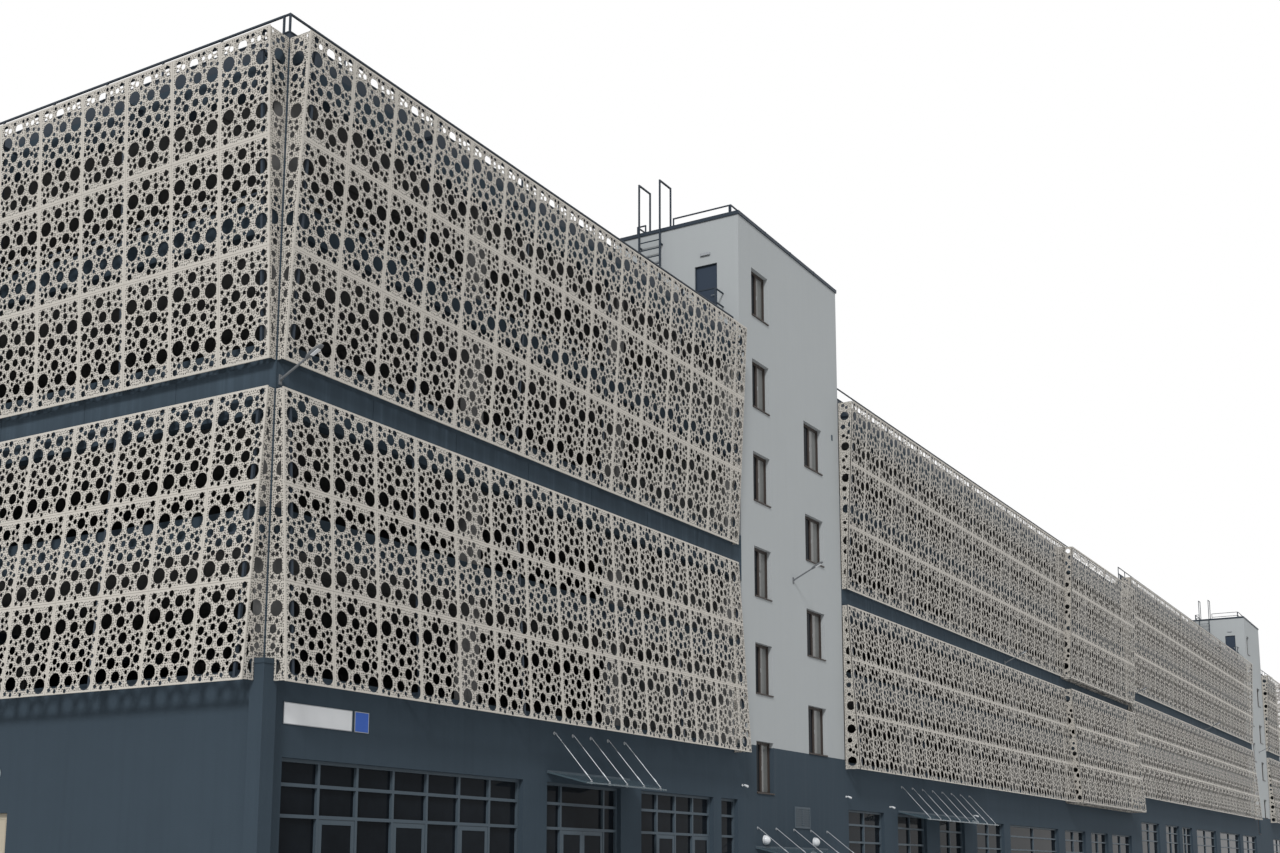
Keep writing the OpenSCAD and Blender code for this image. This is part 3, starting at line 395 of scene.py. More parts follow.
def ring(radius, sides, centre=(0.0, 0.0)):
    """Points round a circle: centre plus radius times the cosine and sine of evenly spaced angles."""
    angle = np.arange(sides) * (2 * math.pi / sides)
    return np.stack([centre[0] + radius * np.cos(angle), centre[1] + radius * np.sin(angle)], 1)


def outward(points, faces):
    """Faces of a bulging shape, each turned round where its normal points to the middle of the shape."""
    a, b, c = (points[faces[:, k]] for k in range(3))
    inwards = (np.cross(b - a, c - a) * (points[faces].mean(1) - points.mean(0))).sum(1) < 0
    return np.where(inwards[:, None], faces[:, ::-1], faces)


def block(low, high, edge=0.3):
    """A straight block with chamfers. Each corner has one point on each of its three faces, drawn in by the
    chamfer on the other two axes. The points are joined face by face, edge by edge, corner by corner."""
    low, high = np.asarray(low, float), np.asarray(high, float)
    edge = min(edge, 0.4 * (high - low).min())
    sign = np.stack(np.meshgrid([0, 1], [0, 1], [0, 1], indexing="ij"), 3).reshape(8, 3)
    inwards = edge * (1 - 2 * sign)
    points = ((low + sign * (high - low))[:, None] + inwards[:, None] * (1 - np.eye(3))).reshape(-1, 3)
    index = np.arange(24).reshape(2, 2, 2, 3)
    quads = []
    for axis in range(3):
        quads += [side[[0, 1, 1, 0], [0, 0, 1, 1]] for side in np.moveaxis(index[..., axis], axis, 0)]
        one, other = (np.moveaxis(index[..., (axis + k) % 3], axis, 0).reshape(2, 4) for k in (1, 2))
        quads += list(np.stack([one[0], one[1], other[1], other[0]], 1))
    return shape(points, outward(points, index.reshape(8, 3)), outward(points, np.array(quads)))


def lofted(rings):
    """A closed skin over rings of points, each turning anticlockwise about the way they follow, with a fan
    of triangles to the middle of the first and of the last ring."""
    rings = np.asarray(rings, dtype=float)
    rows, sides = rings.shape[:2]
    row, here = np.meshgrid(np.arange(rows - 1), np.arange(sides), indexing="ij")
    there = (here + 1) % sides
    quads = np.stack([row * sides + here, row * sides + there, (row + 1) * sides + there,
                      (row + 1) * sides + here], 2).reshape(-1, 4)
    points = np.vstack([rings.reshape(-1, 3), rings[0].mean(0), rings[-1].mean(0)])
    here, there = np.arange(sides), (np.arange(sides) + 1) % sides
    last = (rows - 1) * sides
    fans = np.vstack([np.stack([np.full(sides, rows * sides), there, here], 1),
                      np.stack([np.full(sides, rows * sides + 1), last + here, last + there], 1)])
    return shape(points, fans, quads)


def turned(profile, sides):
    """A surface of revolution: each (radius, height) of the profile swept through evenly spaced angles."""
    return lofted([np.column_stack([ring(max(radius, 0.01), sides), np.full(sides, height)])
                   for radius, height in profile])


def tube(path, radius, sides=12, reference=(1.0, 0.0, 0.0)):
    """A round tube: at each point of the path a circle square to the way there, its first axis being the
    reference direction crossed with the way."""
    path = np.asarray(path, dtype=float)
    way = np.gradient(path, axis=0)
    way /= np.linalg.norm(way, axis=1, keepdims=True)
    first = np.cross(np.asarray(reference, float), way)
    first /= np.linalg.norm(first, axis=1, keepdims=True)
    second = np.cross(way, first)
    circle = ring(1.0, sides)
    radius = np.broadcast_to(np.asarray(radius, float), len(path))[:, None, None]
    return lofted(path[:, None] + radius * (circle[None, :, :1] * first[:, None]
                                            + circle[None, :, 1:] * second[:, None]))


def rim(width, height, bar, low, high, edge=0.25):
    """A rectangular frame of four chamfered bars, drawn from its lower left corner."""
    return merged([block((0, 0, low), (width, bar, high), edge),
                   block((0, height - bar, low), (width, height, high), edge),
                   block((0, bar, low), (bar, height - bar, high), edge),
                   block((width - bar, bar, low), (width, height - bar, high), edge)])


# Perforated sheets


def inside(places, outline):
    """Which places lie inside a closed outline, by counting the edges that a level ray crosses."""
    x, y = places[:, 0][:, None], places[:, 1][:, None]
    x0, y0 = outline.T
    x1, y1 = np.roll(outline, -1, 0).T
    spans = (y0 > y) != (y1 > y)
    rise = np.where(y1 == y0, 1, y1 - y0)
    return (spans & (x < x0 + (y - y0) * (x1 - x0) / rise)).sum(1) % 2 == 1


# A hole cut by a fold: how much smaller it gets, its least height, and how far it may pass a second fold
CUT_CLEAR = 0.6
CUT_LEAST = 2.4
CUT_OVERLAP = 0.7


def cut_ring(centre, radius, sides, edges):
    """A circle cut straight by the nearest of some edges, each a unit normal and an offset along it. The
    kept arc starts at the arc cosine of room over radius beside the normal, and runs round to its other
    side. Its radius is a little smaller, so that its corners stay clear of the next hole."""
    if not edges:
        return ring(radius, sides, centre)
    rooms = [offset - np.dot(centre, normal) for normal, offset in edges]
    room, second = sorted(rooms + [math.inf])[:2]
    if room >= radius:
        return ring(radius, sides, centre)
    radius -= CUT_CLEAR
    if room >= radius:
        return ring(radius, sides, centre)
    if room + radius < CUT_LEAST or second < radius - CUT_OVERLAP:
        return None
    normal = edges[rooms.index(room)][0]
    start = math.acos(room / radius)
    count = max(4, round(sides * (1 - start / math.pi)) + 1)
    angle = math.atan2(normal[1], normal[0]) + np.linspace(start, 2 * math.pi - start, count)
    return np.stack([centre[0] + radius * np.cos(angle), centre[1] + radius * np.sin(angle)], 1)


def perforated(outline, rings, low, high, closed=True):
    """A sheet from w = low to w = high: a triangulation held to its outline and to each hole's ring, without
    the triangles whose middle lies in a hole or outside, laid at both levels and walled between. An open
    sheet is the outer level alone."""
    loops = [outline] + rings
    flat = np.vstack(loops)
    first = np.cumsum([0] + [len(r) for r in loops])
    after = np.concatenate([np.roll(np.arange(a, b), -1) for a, b in zip(first, first[1:])])
    edges = np.stack([np.arange(len(flat)), after], 1).tolist()
    found = delaunay_2d_cdt([Vector(p) for p in flat.tolist()], edges, [], 0, 1e-5)
    order = np.array([origin[0] for origin in found[3]])
    triangles = order[np.array(found[2])]
    middle = flat[triangles].mean(1)
    keep = inside(middle, outline)
    for hole in rings:
        keep &= ~inside(middle, hole)
    triangles = triangles[keep]
    a, b, c = (flat[triangles[:, k]] for k in range(3))
    turn = (b - a)[:, 0] * (c - a)[:, 1] - (b - a)[:, 1] * (c - a)[:, 0]
    triangles[turn < 0] = triangles[turn < 0][:, ::-1]
    count = len(flat)
    if not closed:
        return shape(np.column_stack([flat, np.full(count, high)]), triangles)
    points = np.vstack([np.column_stack([flat, np.full(count, high)]),
                        np.column_stack([flat, np.full(count, low)])])
    here = np.arange(count)
    walls = np.stack([here, after, after + count, here + count], 1)
    walls[:len(outline)] = walls[:len(outline), ::-1]
    return shape(points, np.vstack([triangles, triangles[:, ::-1] + count]), walls)


def folded_edge(width, height, inset, low, high, thick=0.9):
    """The folded rim behind a cassette's face: two upright rectangles joined at both levels."""
    def corners(back):
        right, top = width - back, height - back
        return np.array([(back, back), (right, back), (right, top), (back, top)])

    levels = [(inset, low), (inset, high), (inset + thick, high), (inset + thick, low)]
    points = np.vstack([np.column_stack([corners(back), np.full(4, level)]) for back, level in levels])
    here, there = np.arange(4), (np.arange(4) + 1) % 4
    quads = np.vstack([np.stack([k * 4 + here, k * 4 + there, (k + 1) % 4 * 4 + there,
                                 (k + 1) % 4 * 4 + here], 1) for k in range(4)])
    return shape(points, quads=quads)


def tier_facts(tier):
    """Slope length, lean and foot of a tier, from the sizes of the screens."""
    sizes = sizes_of("screens")
    spread = sizes.lip_gap - sizes.waist_gap
    foot, top = (sizes.waist_high, SCREEN_TOP) if tier == "upper" else (SCREEN_FOOT, sizes.waist_low)
    return math.hypot(top - foot, spread), math.atan2(spread, top - foot), foot


def leaned(one, tier, rise=0.0, bay=0.0):
    """A shape drawn as (along, up the slope, out of the sheet) leaned onto its tier: the upper tier goes out
    as it rises and the lower tier comes in, so the slope turns by the lean about the foot of the tier."""
    sizes = sizes_of("screens")
    _, lean, foot = tier_facts(tier)
    way, start = (1, sizes.waist_gap) if tier == "upper" else (-1, sizes.lip_gap)

    def place(p):
        along, slope, out = p.T
        outwards = start + bay + way * slope * math.sin(lean) + out * math.cos(lean)
        height = foot + rise + slope * math.cos(lean) - way * out * math.sin(lean)
        return np.stack([along, height, outwards], 1)

    return moved(one, place)


def hole_rings(tier, detail, scale, place=lambda x, y: (x, y), edges=lambda x, y, r: []):
    """Rings of a cassette's holes, each put through a place and cut by the edges near it. The scale
    stretches the drawn heights to the row. A ring's radius is that of the hole over the square root of
    sides / 2 pi times the sine of 2 pi / sides, so that its polygon has the area of the round hole."""
    smallest, base, share = DETAIL[detail]
    rings = []
    for radius, places in HOLES[tier].items():
        if radius >= smallest:
            spots = [place(x, y * scale) for x, y in places]
            sides = int(base + share * radius)
            radius /= math.sqrt(sides / (2 * math.pi) * math.sin(2 * math.pi / sides))
            rings += [cut_ring(s, radius, sides, edges(*s, radius)) for s in spots]
    return [r for r in rings if r is not None]


def cassette(width, tier, row, detail):
    """One cassette drawn from its lower left corner: holes cut at the border of a narrow one, and on the
    near screens a sheet with a thickness and a folded edge."""
    sizes = sizes_of("screens")
    inset = sizes.joint / 2
    right, top = width - inset, row - inset
    outline = np.array([(inset, inset), (right, inset), (right, top), (inset, top)])
    edges = [] if width == CASSETTE else [((1, 0), width - sizes.fold)]
    rings = hole_rings(tier, detail, row / DRAWN_ROW[tier], edges=lambda x, y, r: edges)
    low = sizes.depth - sizes.skin
    sheet = perforated(outline, rings, low, sizes.depth, detail == "near")
    return merged([sheet, folded_edge(width, row, inset, 0.2, low)]) if detail == "near" else sheet


def tier_screen(tier, runs, detail):
    """All cassettes of one tier on some runs, with flat coordinates from each cassette's middle for its
    dots."""
    sizes = sizes_of("screens")
    row = tier_facts(tier)[0] / ROWS
    kinds = {width: cassette(width, tier, row, detail) for width in (CASSETTE, CASSETTE / 2)}
    parts, flat = [], []
    for facade, start, panels, high, bay in runs:
        whole = int(panels)
        columns = {CASSETTE: range(whole), CASSETTE / 2: [whole] if panels > whole else []}
        for width, marks in columns.items():
            places = [(start + c * CASSETTE, r * row, 0) for c in marks for r in range(ROWS)]
            if places:
                laid = leaned(repeated(kinds[width], places), tier, RISE * high, sizes.bay_out * bay)
                parts.append(on_facade(facade, laid))
                flat.append(np.tile(kinds[width][0][:, :2] - (width / 2, row / 2), (len(places), 1)))
    return merged(parts), np.vstack(flat)


# End plates: clear of the tier's foot and top, clear of the wall and the sheet, and metal over their holes
PLATE_CLEAR = 2.0
PLATE_GAP = 0.3
PLATE_EDGE = 1.2


def return_plate(tier, detail, bay, notched):
    """A plate that closes the end of a tier, drawn as (out, up): from the wall to the back of the leaning
    sheet, with the cassette's pattern measured out from the wall and cut at the folds."""
    sizes = sizes_of("screens")
    length, lean, foot = tier_facts(tier)
    row = length / ROWS
    upper = tier == "upper"
    low, high = (sizes.waist_high, SCREEN_TOP) if upper else (SCREEN_FOOT, sizes.waist_low)
    low, high = low + PLATE_CLEAR, high - PLATE_CLEAR
    gap = PLATE_GAP
    near, far = sizes.waist_gap + bay - gap, sizes.lip_gap + bay - gap
    foot_out, top_out = (near, far) if upper else (far, near)
    outline = [(gap, low), (foot_out, low), (top_out, high), (gap, high)]
    if notched:
        outline = [(NOTCH[0], low)] + outline[1:] + [(gap, NOTCH[1]), NOTCH]
    way = np.array((top_out - foot_out, high - low)) / math.hypot(top_out - foot_out, high - low)
    normal = (way[1], -way[0])
    slanted = (normal, np.dot(normal, (foot_out, low)) - sizes.fold)
    level = ((0, -1), PLATE_EDGE - low), ((0, 1), high - PLATE_EDGE)

    def edges(x, y, r):
        near_by = [slanted, *level]
        if notched and y - r < NOTCH[1] + sizes.fold and x - r < NOTCH[0] + sizes.fold:
            beside, above = ((-1, 0), -NOTCH[0] - sizes.fold), ((0, -1), -NOTCH[1] - sizes.fold)
            near_by.append(max(beside, above, key=lambda e: e[1] - np.dot(e[0], (x, y))))
        return near_by

    rings = []
    for r in range(ROWS):
        rings += hole_rings(tier, detail, row / DRAWN_ROW[tier], edges=edges,
                            place=lambda x, y: (x, foot + (y + r * row) * math.cos(lean)))
    rings = [one for one in rings if one[:, 0].mean() < far]
    if notched:
        rings = [one for one in rings if not (one[:, 0].min() < NOTCH[0] and one[:, 1].min() < NOTCH[1])]
    return perforated(np.array(outline, float), rings, 0.0, 1.0)


# Shader groups and finishes


def group_tree(name, inputs):
    """An empty shader node group with its sockets, and its two ends."""
    tree = bpy.data.node_groups.new(name, "ShaderNodeTree")
    for label, kind, value in inputs:
        socket = tree.interface.new_socket(name=label, in_out="INPUT", socket_type="NodeSocket" + kind)
        socket.default_value = value
    tree.interface.new_socket(name="Value", in_out="OUTPUT", socket_type="NodeSocketFloat")
    return tree, tree.nodes.new("NodeGroupInput"), tree.nodes.new("NodeGroupOutput")


def put(tree, kind, settings=(), **values):
    """A shader node with its settings and the plain values of its named inputs."""
    made = tree.nodes.new("ShaderNode" + kind)
    for name, value in dict(settings).items():
        setattr(made, name, value)
    for name, value in values.items():
        made.inputs[name.replace("_", " ")].default_value = value
    return made


def calculate(tree, operation, first, second=0.0):
    """A math node on two sockets or plain numbers, and its result."""
    made = put(tree, "Math", {"operation": operation})
    for place, value in enumerate((first, second)):
        if isinstance(value, (int, float)):
            made.inputs[place].default_value = value
        else:
            tree.links.new(value, made.inputs[place])
    return made.outputs[0]


# Half width of a field of dots without a margin, in metres
BOUNDLESS = 100.0


def dots_group(name, dimensions):
    """Mask of round dots, painted shade standing for small holes: 1 where the distance to the nearest cell
    point is under the radius, and the place is nearer to the middle than the two half widths."""
    tree, entry, leave = group_tree(name, [
        ("Vector", "Vector", (0, 0, 0)), ("Spacing", "Float", 0.005), ("Radius", "Float", 0.0013),
        ("Half width", "Float", BOUNDLESS), ("Half height", "Float", BOUNDLESS)])
    cells = put(tree, "TexVoronoi", {"voronoi_dimensions": dimensions, "feature": "F1"}, Randomness=0.6)
    density = calculate(tree, "DIVIDE", 1.0, entry.outputs["Spacing"])
    tree.links.new(entry.outputs["Vector"], cells.inputs["Vector"])
    tree.links.new(density, cells.inputs["Scale"])
    reach = calculate(tree, "MULTIPLY", entry.outputs["Radius"], density)
    hole_shade_mask = calculate(tree, "LESS_THAN", cells.outputs["Distance"], reach)
    parts = put(tree, "SeparateXYZ")
    tree.links.new(entry.outputs["Vector"], parts.inputs[0])
    for axis, limit in ((0, "Half width"), (1, "Half height")):
        away = calculate(tree, "ABSOLUTE", parts.outputs[axis])
        near = calculate(tree, "LESS_THAN", away, entry.outputs[limit])
        hole_shade_mask = calculate(tree, "MULTIPLY", hole_shade_mask, near)
    tree.links.new(hole_shade_mask, leave.inputs["Value"])
    return tree


def weather_group():
    """Slow variation of a painted surface from 0 to 1: a broad noise and a finer one, the broad one weighted
    twice."""
    tree, entry, leave = group_tree("weather", [("Vector", "Vector", (0, 0, 0)), ("Size", "Float", 0.3)])
    density = calculate(tree, "DIVIDE", 1.0, entry.outputs["Size"])
    broad = put(tree, "TexNoise", Detail=2.0)
    fine = put(tree, "TexNoise", Detail=3.0)
    for noise, factor in ((broad, 1.0), (fine, 7.0)):
        tree.links.new(entry.outputs["Vector"], noise.inputs["Vector"])
        tree.links.new(calculate(tree, "MULTIPLY", density, factor), noise.inputs["Scale"])
    both = calculate(tree, "MULTIPLY", broad.outputs[0], 0.66)
    rest = calculate(tree, "MULTIPLY", fine.outputs[0], 0.34)
    tree.links.new(calculate(tree, "ADD", both, rest), leave.inputs["Value"])
    return tree


def streaks_group():
    """Faint upright marks from 0 to 1: noise on coordinates squeezed upwards, raised to a power so that only
    its peaks show."""
    tree, entry, leave = group_tree("streaks", [("Vector", "Vector", (0, 0, 0))])
    squeeze = put(tree, "Mapping", Scale=(60.0, 60.0, 3.0))
    noise = put(tree, "TexNoise", Scale=1.0, Detail=3.0)
    tree.links.new(entry.outputs["Vector"], squeeze.inputs["Vector"])
    tree.links.new(squeeze.outputs[0], noise.inputs["Vector"])
    peaks = calculate(tree, "POWER", noise.outputs[0], 4.0)
    tree.links.new(calculate(tree, "MULTIPLY", peaks, 5.0), leave.inputs["Value"])
    return tree


def joints_group():
    """Mask of straight joints: 1 where a coordinate, folded back and forth over half its pitch, is less than
    the line, on either of two axes."""
    tree, entry, leave = group_tree("joints", [("Vector", "Vector", (0, 0, 0)), ("Pitch", "Float", 0.6),
                                               ("Line", "Float", 0.004)])
    parts = put(tree, "SeparateXYZ")
    tree.links.new(entry.outputs["Vector"], parts.inputs[0])
    half = calculate(tree, "DIVIDE", entry.outputs["Pitch"], 2.0)
    masks = []
    for axis in (0, 1):
        away = calculate(tree, "PINGPONG", parts.outputs[axis], half)
        masks.append(calculate(tree, "LESS_THAN", away, entry.outputs["Line"]))
    tree.links.new(calculate(tree, "MAXIMUM", *masks), leave.inputs["Value"])
    return tree


GROUPS = {
    "flat_dots": lambda: dots_group("flat_dots", "2D"),
    "solid_dots": lambda: dots_group("solid_dots", "3D"),
    "weather": weather_group,
    "streaks": streaks_group,
    "joints": joints_group,
}


def use_group(tree, name, **inputs):
    """A group node, the group being made the first time, with its inputs wired or set, and its result."""
    made = tree.nodes.new("ShaderNodeGroup")
    made.node_tree = bpy.data.node_groups.get(name) or GROUPS[name]()
    for label, value in inputs.items():
        socket = made.inputs[label.replace("_", " ")]
        if isinstance(value, (int, float)):
            socket.default_value = value
        else:
            tree.links.new(value, socket)
    return made.outputs[0]


def blended(tree, factor, first, second):
    """A colour between two colours, each a socket or three numbers, and its socket."""
    made = put(tree, "Mix", {"data_type": "RGBA"})
    tree.links.new(factor, made.inputs[0])
    for place, value in ((6, first), (7, second)):
        if isinstance(value, tuple):
            made.inputs[place].default_value = value + (1.0,)
        else:
            tree.links.new(value, made.inputs[place])
    return made.outputs[2]


def scaled(colour, factor):
    """A colour made lighter or darker."""
    return tuple(min(1.0, part * factor) for part in colour)


def varied(tree, where, colour, spread, size):
    """A colour that varies slowly over the surface, by a share either way."""
    return blended(tree, use_group(tree, "weather", Vector=where, Size=size),
                   scaled(colour, 1 - 2 * spread), scaled(colour, 1 + 2 * spread))


# How light joints are beside their surface, and how dark the dots of painted shade over small holes are
JOINT_TONE = 0.4
HOLE_SHADE_TONE = 0.10


def finish(name, colour, roughness, metallic=0.0, specular=0.5, transmission=0.0, ior=1.45, coat=0.0,
           spread=0.06, size=0.3, streak=0.0, tone=0.55, relief=0.0, grain=0.004, dots=(), joints=0.0,
           base=None):
    """A painted, rendered or glazed surface: base colour with slow variation, and where it has them a darker
    base coat, upright marks, slab joints, fields of dark dots as painted shade of small holes, and a fine
    relief, all from its coordinates."""
    name = "finish_" + name
    if name in bpy.data.materials:
        return bpy.data.materials[name]
    made = bpy.data.materials.new(name)
    made.use_nodes = True
    tree = made.node_tree
    shader = tree.nodes["Principled BSDF"]
    for socket, value in {"Roughness": roughness, "Metallic": metallic, "Specular IOR Level": specular,
                          "Transmission Weight": transmission, "IOR": ior, "Coat Weight": coat}.items():
        shader.inputs[socket].default_value = value
    place = put(tree, "TexCoord")
    where = place.outputs["Object"]
    result = varied(tree, where, tuple(colour), spread, size)
    if base:
        under = varied(tree, where, tuple(base), spread, size)
        result = blended(tree, below_base(tree, where), result, under)
    if streak:
        marks = calculate(tree, "MULTIPLY", use_group(tree, "streaks", Vector=where), streak)
        result = blended(tree, marks, result, scaled(colour, tone))
    if joints:
        lines = calculate(tree, "MULTIPLY", use_group(tree, "joints", Vector=where, Pitch=joints), 0.5)
        result = blended(tree, lines, result, scaled(colour, JOINT_TONE))
    for kind, spacing, radius, half_width, half_height in dots:
        source = place.outputs["UV"] if kind == "flat_dots" else where
        hole_shade_mask = use_group(tree, kind, Vector=source, Spacing=spacing, Radius=radius,
                         Half_width=half_width, Half_height=half_height)
        # Painted shade: each dot darkens the colour, standing for a small hole and the dark behind it
        result = blended(tree, hole_shade_mask, result, scaled(colour, HOLE_SHADE_TONE))
    tree.links.new(result, shader.inputs["Base Color"])
    if relief:
        noise = put(tree, "TexNoise", Scale=1 / grain, Detail=3.0)
        bump = put(tree, "Bump", Strength=relief, Distance=grain * 0.2)
        tree.links.new(where, noise.inputs["Vector"])
        tree.links.new(noise.outputs[0], bump.inputs["Height"])
        tree.links.new(bump.outputs[0], shader.inputs["Normal"])
    return made


# Height of the towers' dark base coat, in metres
BASE_HEIGHT = 0.550


def below_base(tree, where):
    """1 below the top of the dark base coat, which stands higher by the rise past the front's middle."""
    parts = put(tree, "SeparateXYZ")
    tree.links.new(where, parts.inputs[0])
    past = calculate(tree, "GREATER_THAN", parts.outputs[0], 0.0)
    higher = calculate(tree, "MULTIPLY", past, RISE * MM)
    return calculate(tree, "LESS_THAN", parts.outputs[2], calculate(tree, "ADD", higher, BASE_HEIGHT))


# Fine dots of the screens, painted shade in place of the smallest holes, in metres
FINE_SPACING = 0.005
FINE_MARGIN = 0.0045

# Smallest holes on the hidden sides, painted as dots of shade, in metres: spacing, radius and margin
SMALL_HOLES = (0.0138, 0.0046, 0.008)

# Holes of the soffits, painted as dots of shade, in metres: spacing and radius of each size
SOFFIT_DOTS = ((0.034, 0.011), (0.015, 0.0052), (0.0075, 0.0024))


def screen_finish(kind, tier="upper"):
    """The powder coat of the screens with painted shade for holes too small to cut: fine dots on flat
    coordinates inside a plain margin, with a second size in place of the smallest holes on the hidden sides,
    or dots on solid coordinates for the soffits."""
    half_width = CASSETTE * MM / 2
    half_row = tier_facts(tier)[0] * MM / (2 * ROWS)
    fine = 0.0017 if kind in ("middle", "far") else 0.0015
    if kind == "solid":
        dots = [("solid_dots", spacing, radius, BOUNDLESS, BOUNDLESS) for spacing, radius in SOFFIT_DOTS]
    elif kind == "plain":
        dots = []
    elif kind == "return":
        dots = [("flat_dots", FINE_SPACING, fine, BOUNDLESS, BOUNDLESS)]
    else:
        dots = [("flat_dots", FINE_SPACING, fine, half_width - FINE_MARGIN, half_row - FINE_MARGIN)]
        if kind == "hidden":
            spacing, radius, margin = SMALL_HOLES
            dots.append(("flat_dots", spacing, radius, half_width - margin, half_row - margin))
    name = "screen_" + kind
    if kind not in ("solid", "plain", "return"):
        name += "_" + tier
    return finish(name, group_of("finishes").cream, 0.5, specular=0.35, spread=0.035, size=0.5, streak=0.05,
                  dots=dots)


def slot_finishes():
    """One finish for each material slot of the model."""
    look = group_of("finishes")
    return {
        "cream_metal": screen_finish("solid"),
        "dark_render": finish("dark_render", look.dark_render, 0.85, specular=0.12, spread=0.07, size=0.5,
                              streak=0.10, relief=0.35, grain=0.003),
        "white_render": finish("pale_render", look.pale_render, 0.9, specular=0.15, spread=0.025, size=0.6,
                               streak=0.03, relief=0.35, grain=0.003, base=look.dark_render),
        "concrete": finish("concrete", look.concrete, 0.9, specular=0.2, spread=0.10, size=0.4, relief=0.5,
                           grain=0.008, joints=0.56),
        "grey_steel": finish("dark_steel", look.steel, 0.5, specular=0.25, spread=0.05),
        "dark_frames": finish("shop_frames", look.frames, 0.5, specular=0.2, spread=0.04),
        # Painted shade: near-black, barely clear glass for panes and lenses, standing for the unlit rooms
        # behind the glass
        "window_glass": finish("shop_glass", look.glass, 0.04, specular=0.07, spread=0.3, size=0.15,
                               transmission=0.05, ior=1.25),
        "canopy_glass": finish("canopy_glass", (0.16, 0.23, 0.27), 0.10, specular=0.3, spread=0.03,
                               transmission=0.55),
        "door_grey": finish("door_leaf", look.frames, 0.45, specular=0.2, spread=0.05),
        "door_beige": finish("side_door", look.beige, 0.50, specular=0.3, spread=0.05),
        "door_blue": finish("roof_door", look.slate, 0.45, specular=0.25, spread=0.05),
        "rod_steel": finish("rod_steel", look.arms, 0.35, metallic=0.6, spread=0.04),
        "lamp_white": finish("lamp_white", look.white, 0.25, spread=0.02, coat=0.3),
    }


def worn(name):
    """The finish of one material slot."""
    return slot_finishes()[name]


def window_frame_finish():
    """The brown paint of the tower windows' frames and sashes."""
    return finish("window_frames", group_of("finishes").window_frames, 0.5, specular=0.25, spread=0.05)


# Pieces


class CARPARK_OT_near_screens(Operator):
    """Perforated cassettes of the corner block and of the short left side"""
    bl_idname = "car_park.near_screens"
    bl_label = "Near screens"

    def execute(self, context):
        for side, panels in (("front", CORNER_PANELS), ("left", SIDE_PANELS)):
            for tier in ("upper", "lower"):
                one, flat = tier_screen(tier, [(side, 0.0, panels, 0, 0)], "near")
                piece = add_piece(side + "_cassettes_" + tier, one, screen_finish("near", tier),
                                  "cream_metal", uv=flat)
                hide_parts(side + "_screen_" + tier)
        return {"FINISHED"}


class CARPARK_OT_far_screens(Operator):
    """Perforated cassettes of the far blocks on the long front, plainer with their distance"""
    bl_idname = "car_park.far_screens"
    bl_label = "Far screens"

    def execute(self, context):
        for tier in ("upper", "lower"):
            for detail, runs in (("middle", MIDDLE_RUNS), ("far", FAR_RUNS)):
                one, flat = tier_screen(tier, runs, detail)
                piece = add_piece(detail + "_cassettes_" + tier, one, screen_finish(detail, tier),
                                  "cream_metal", uv=flat)
                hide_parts("far_screens_" + tier)
        return {"FINISHED"}


class CARPARK_OT_hidden_screens(Operator):
    """Perforated cassettes of the back and of the right end, which repeat the long front's pattern, with a
    near-black sheet behind them that paints the shade of the decks, as no daylight shows through the decks"""
    bl_idname = "car_park.hidden_screens"
    bl_label = "Back and right screens"

    def execute(self, context):
        painted_shade_sheets = []
        for facade, start, panels, high, _ in HIDDEN_RUNS:
            for tier in ("upper", "lower"):
                length = tier_facts(tier)[0]
                sheet = block((start + 2, 2, 0.2), (start + panels * CASSETTE - 2, length - 2, 1.2))
                painted_shade_sheets.append(on_facade(facade, leaned(sheet, tier, RISE * high)))
        # Painted shade: the sheet behind the hidden screens is near black, in place of the unlit decks seen
        # through the holes
        painted_shade = finish("painted_shade", group_of("finishes").painted_shade, 0.9, specular=0.05)
        add_piece("painted_shade_behind_screens", merged(painted_shade_sheets), painted_shade, "dark_render")
        for side in ("back", "right"):
            runs = [run for run in HIDDEN_RUNS if run[0] == side]
            for tier in ("upper", "lower"):
                one, flat = tier_screen(tier, runs, "hidden")
                piece = add_piece(side + "_cassettes_" + tier, one, screen_finish("hidden", tier),
                                  "cream_metal", uv=flat)
                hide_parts(side + "_screens")
        return {"FINISHED"}


class CARPARK_OT_screen_ends(Operator):
    """Perforated plates that close the ends of the screens, and the slim post on the near corner"""
    bl_idname = "car_park.screen_ends"
    bl_label = "Screen ends"

    def execute(self, context):
        sizes = sizes_of("screens")
        parts, flat = [], []
        for facade, start, end, high, bay, notched, detail in RETURNS:
            for tier in ("upper", "lower"):
                for side, face in (("start", start + 2), ("end", end - 1)):
                    notch = notched == side and tier == "lower"
                    plate = return_plate(tier, detail, sizes.bay_out * bay, notch)
                    flat.append(plate[0][:, :2])
                    out, up, depth = plate[0].T
                    points = np.stack([face - depth, up + RISE * high, out], 1)
                    parts.append(on_facade(facade, (points, *plate[1:])))
        piece = add_piece("screen_end_plates", merged(parts), screen_finish("return"), "cream_metal",
                          uv=np.vstack(flat))
        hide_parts("screen_returns")
        post = block((-2, NOTCH[1], -0.8), (0.8, SCREEN_TOP - 24, 2), 0.5)
        add_piece("corner_post", on_facade("front", post), worn("dark_render"), "dark_render")
        return {"FINISHED"}


class CARPARK_OT_seam_covers(Operator):
    """Plain strips over the seams between the stretches of screen on the long front"""
    bl_idname = "car_park.seam_covers"
    bl_label = "Seam covers"

    def execute(self, context):
        sizes = sizes_of("screens")
        half = sizes.cover / 2
        seams = [(MIDDLE_B, 0)] + [(LONG + k * LONG_PART, 1) for k in range(1, LONG_PARTS)]
        parts = []
        for tier in ("upper", "lower"):
            length = tier_facts(tier)[0]
            strip = block((-half, 3, sizes.depth), (half, length - 3, sizes.depth + 0.6), 0.2)
            for mark, high in seams:
                parts.append(on_facade("front", leaned(shifted(strip, mark, 0, 0), tier, RISE * high)))
        add_piece("seam_covers", merged(parts), screen_finish("plain"), "cream_metal")
        return {"FINISHED"}


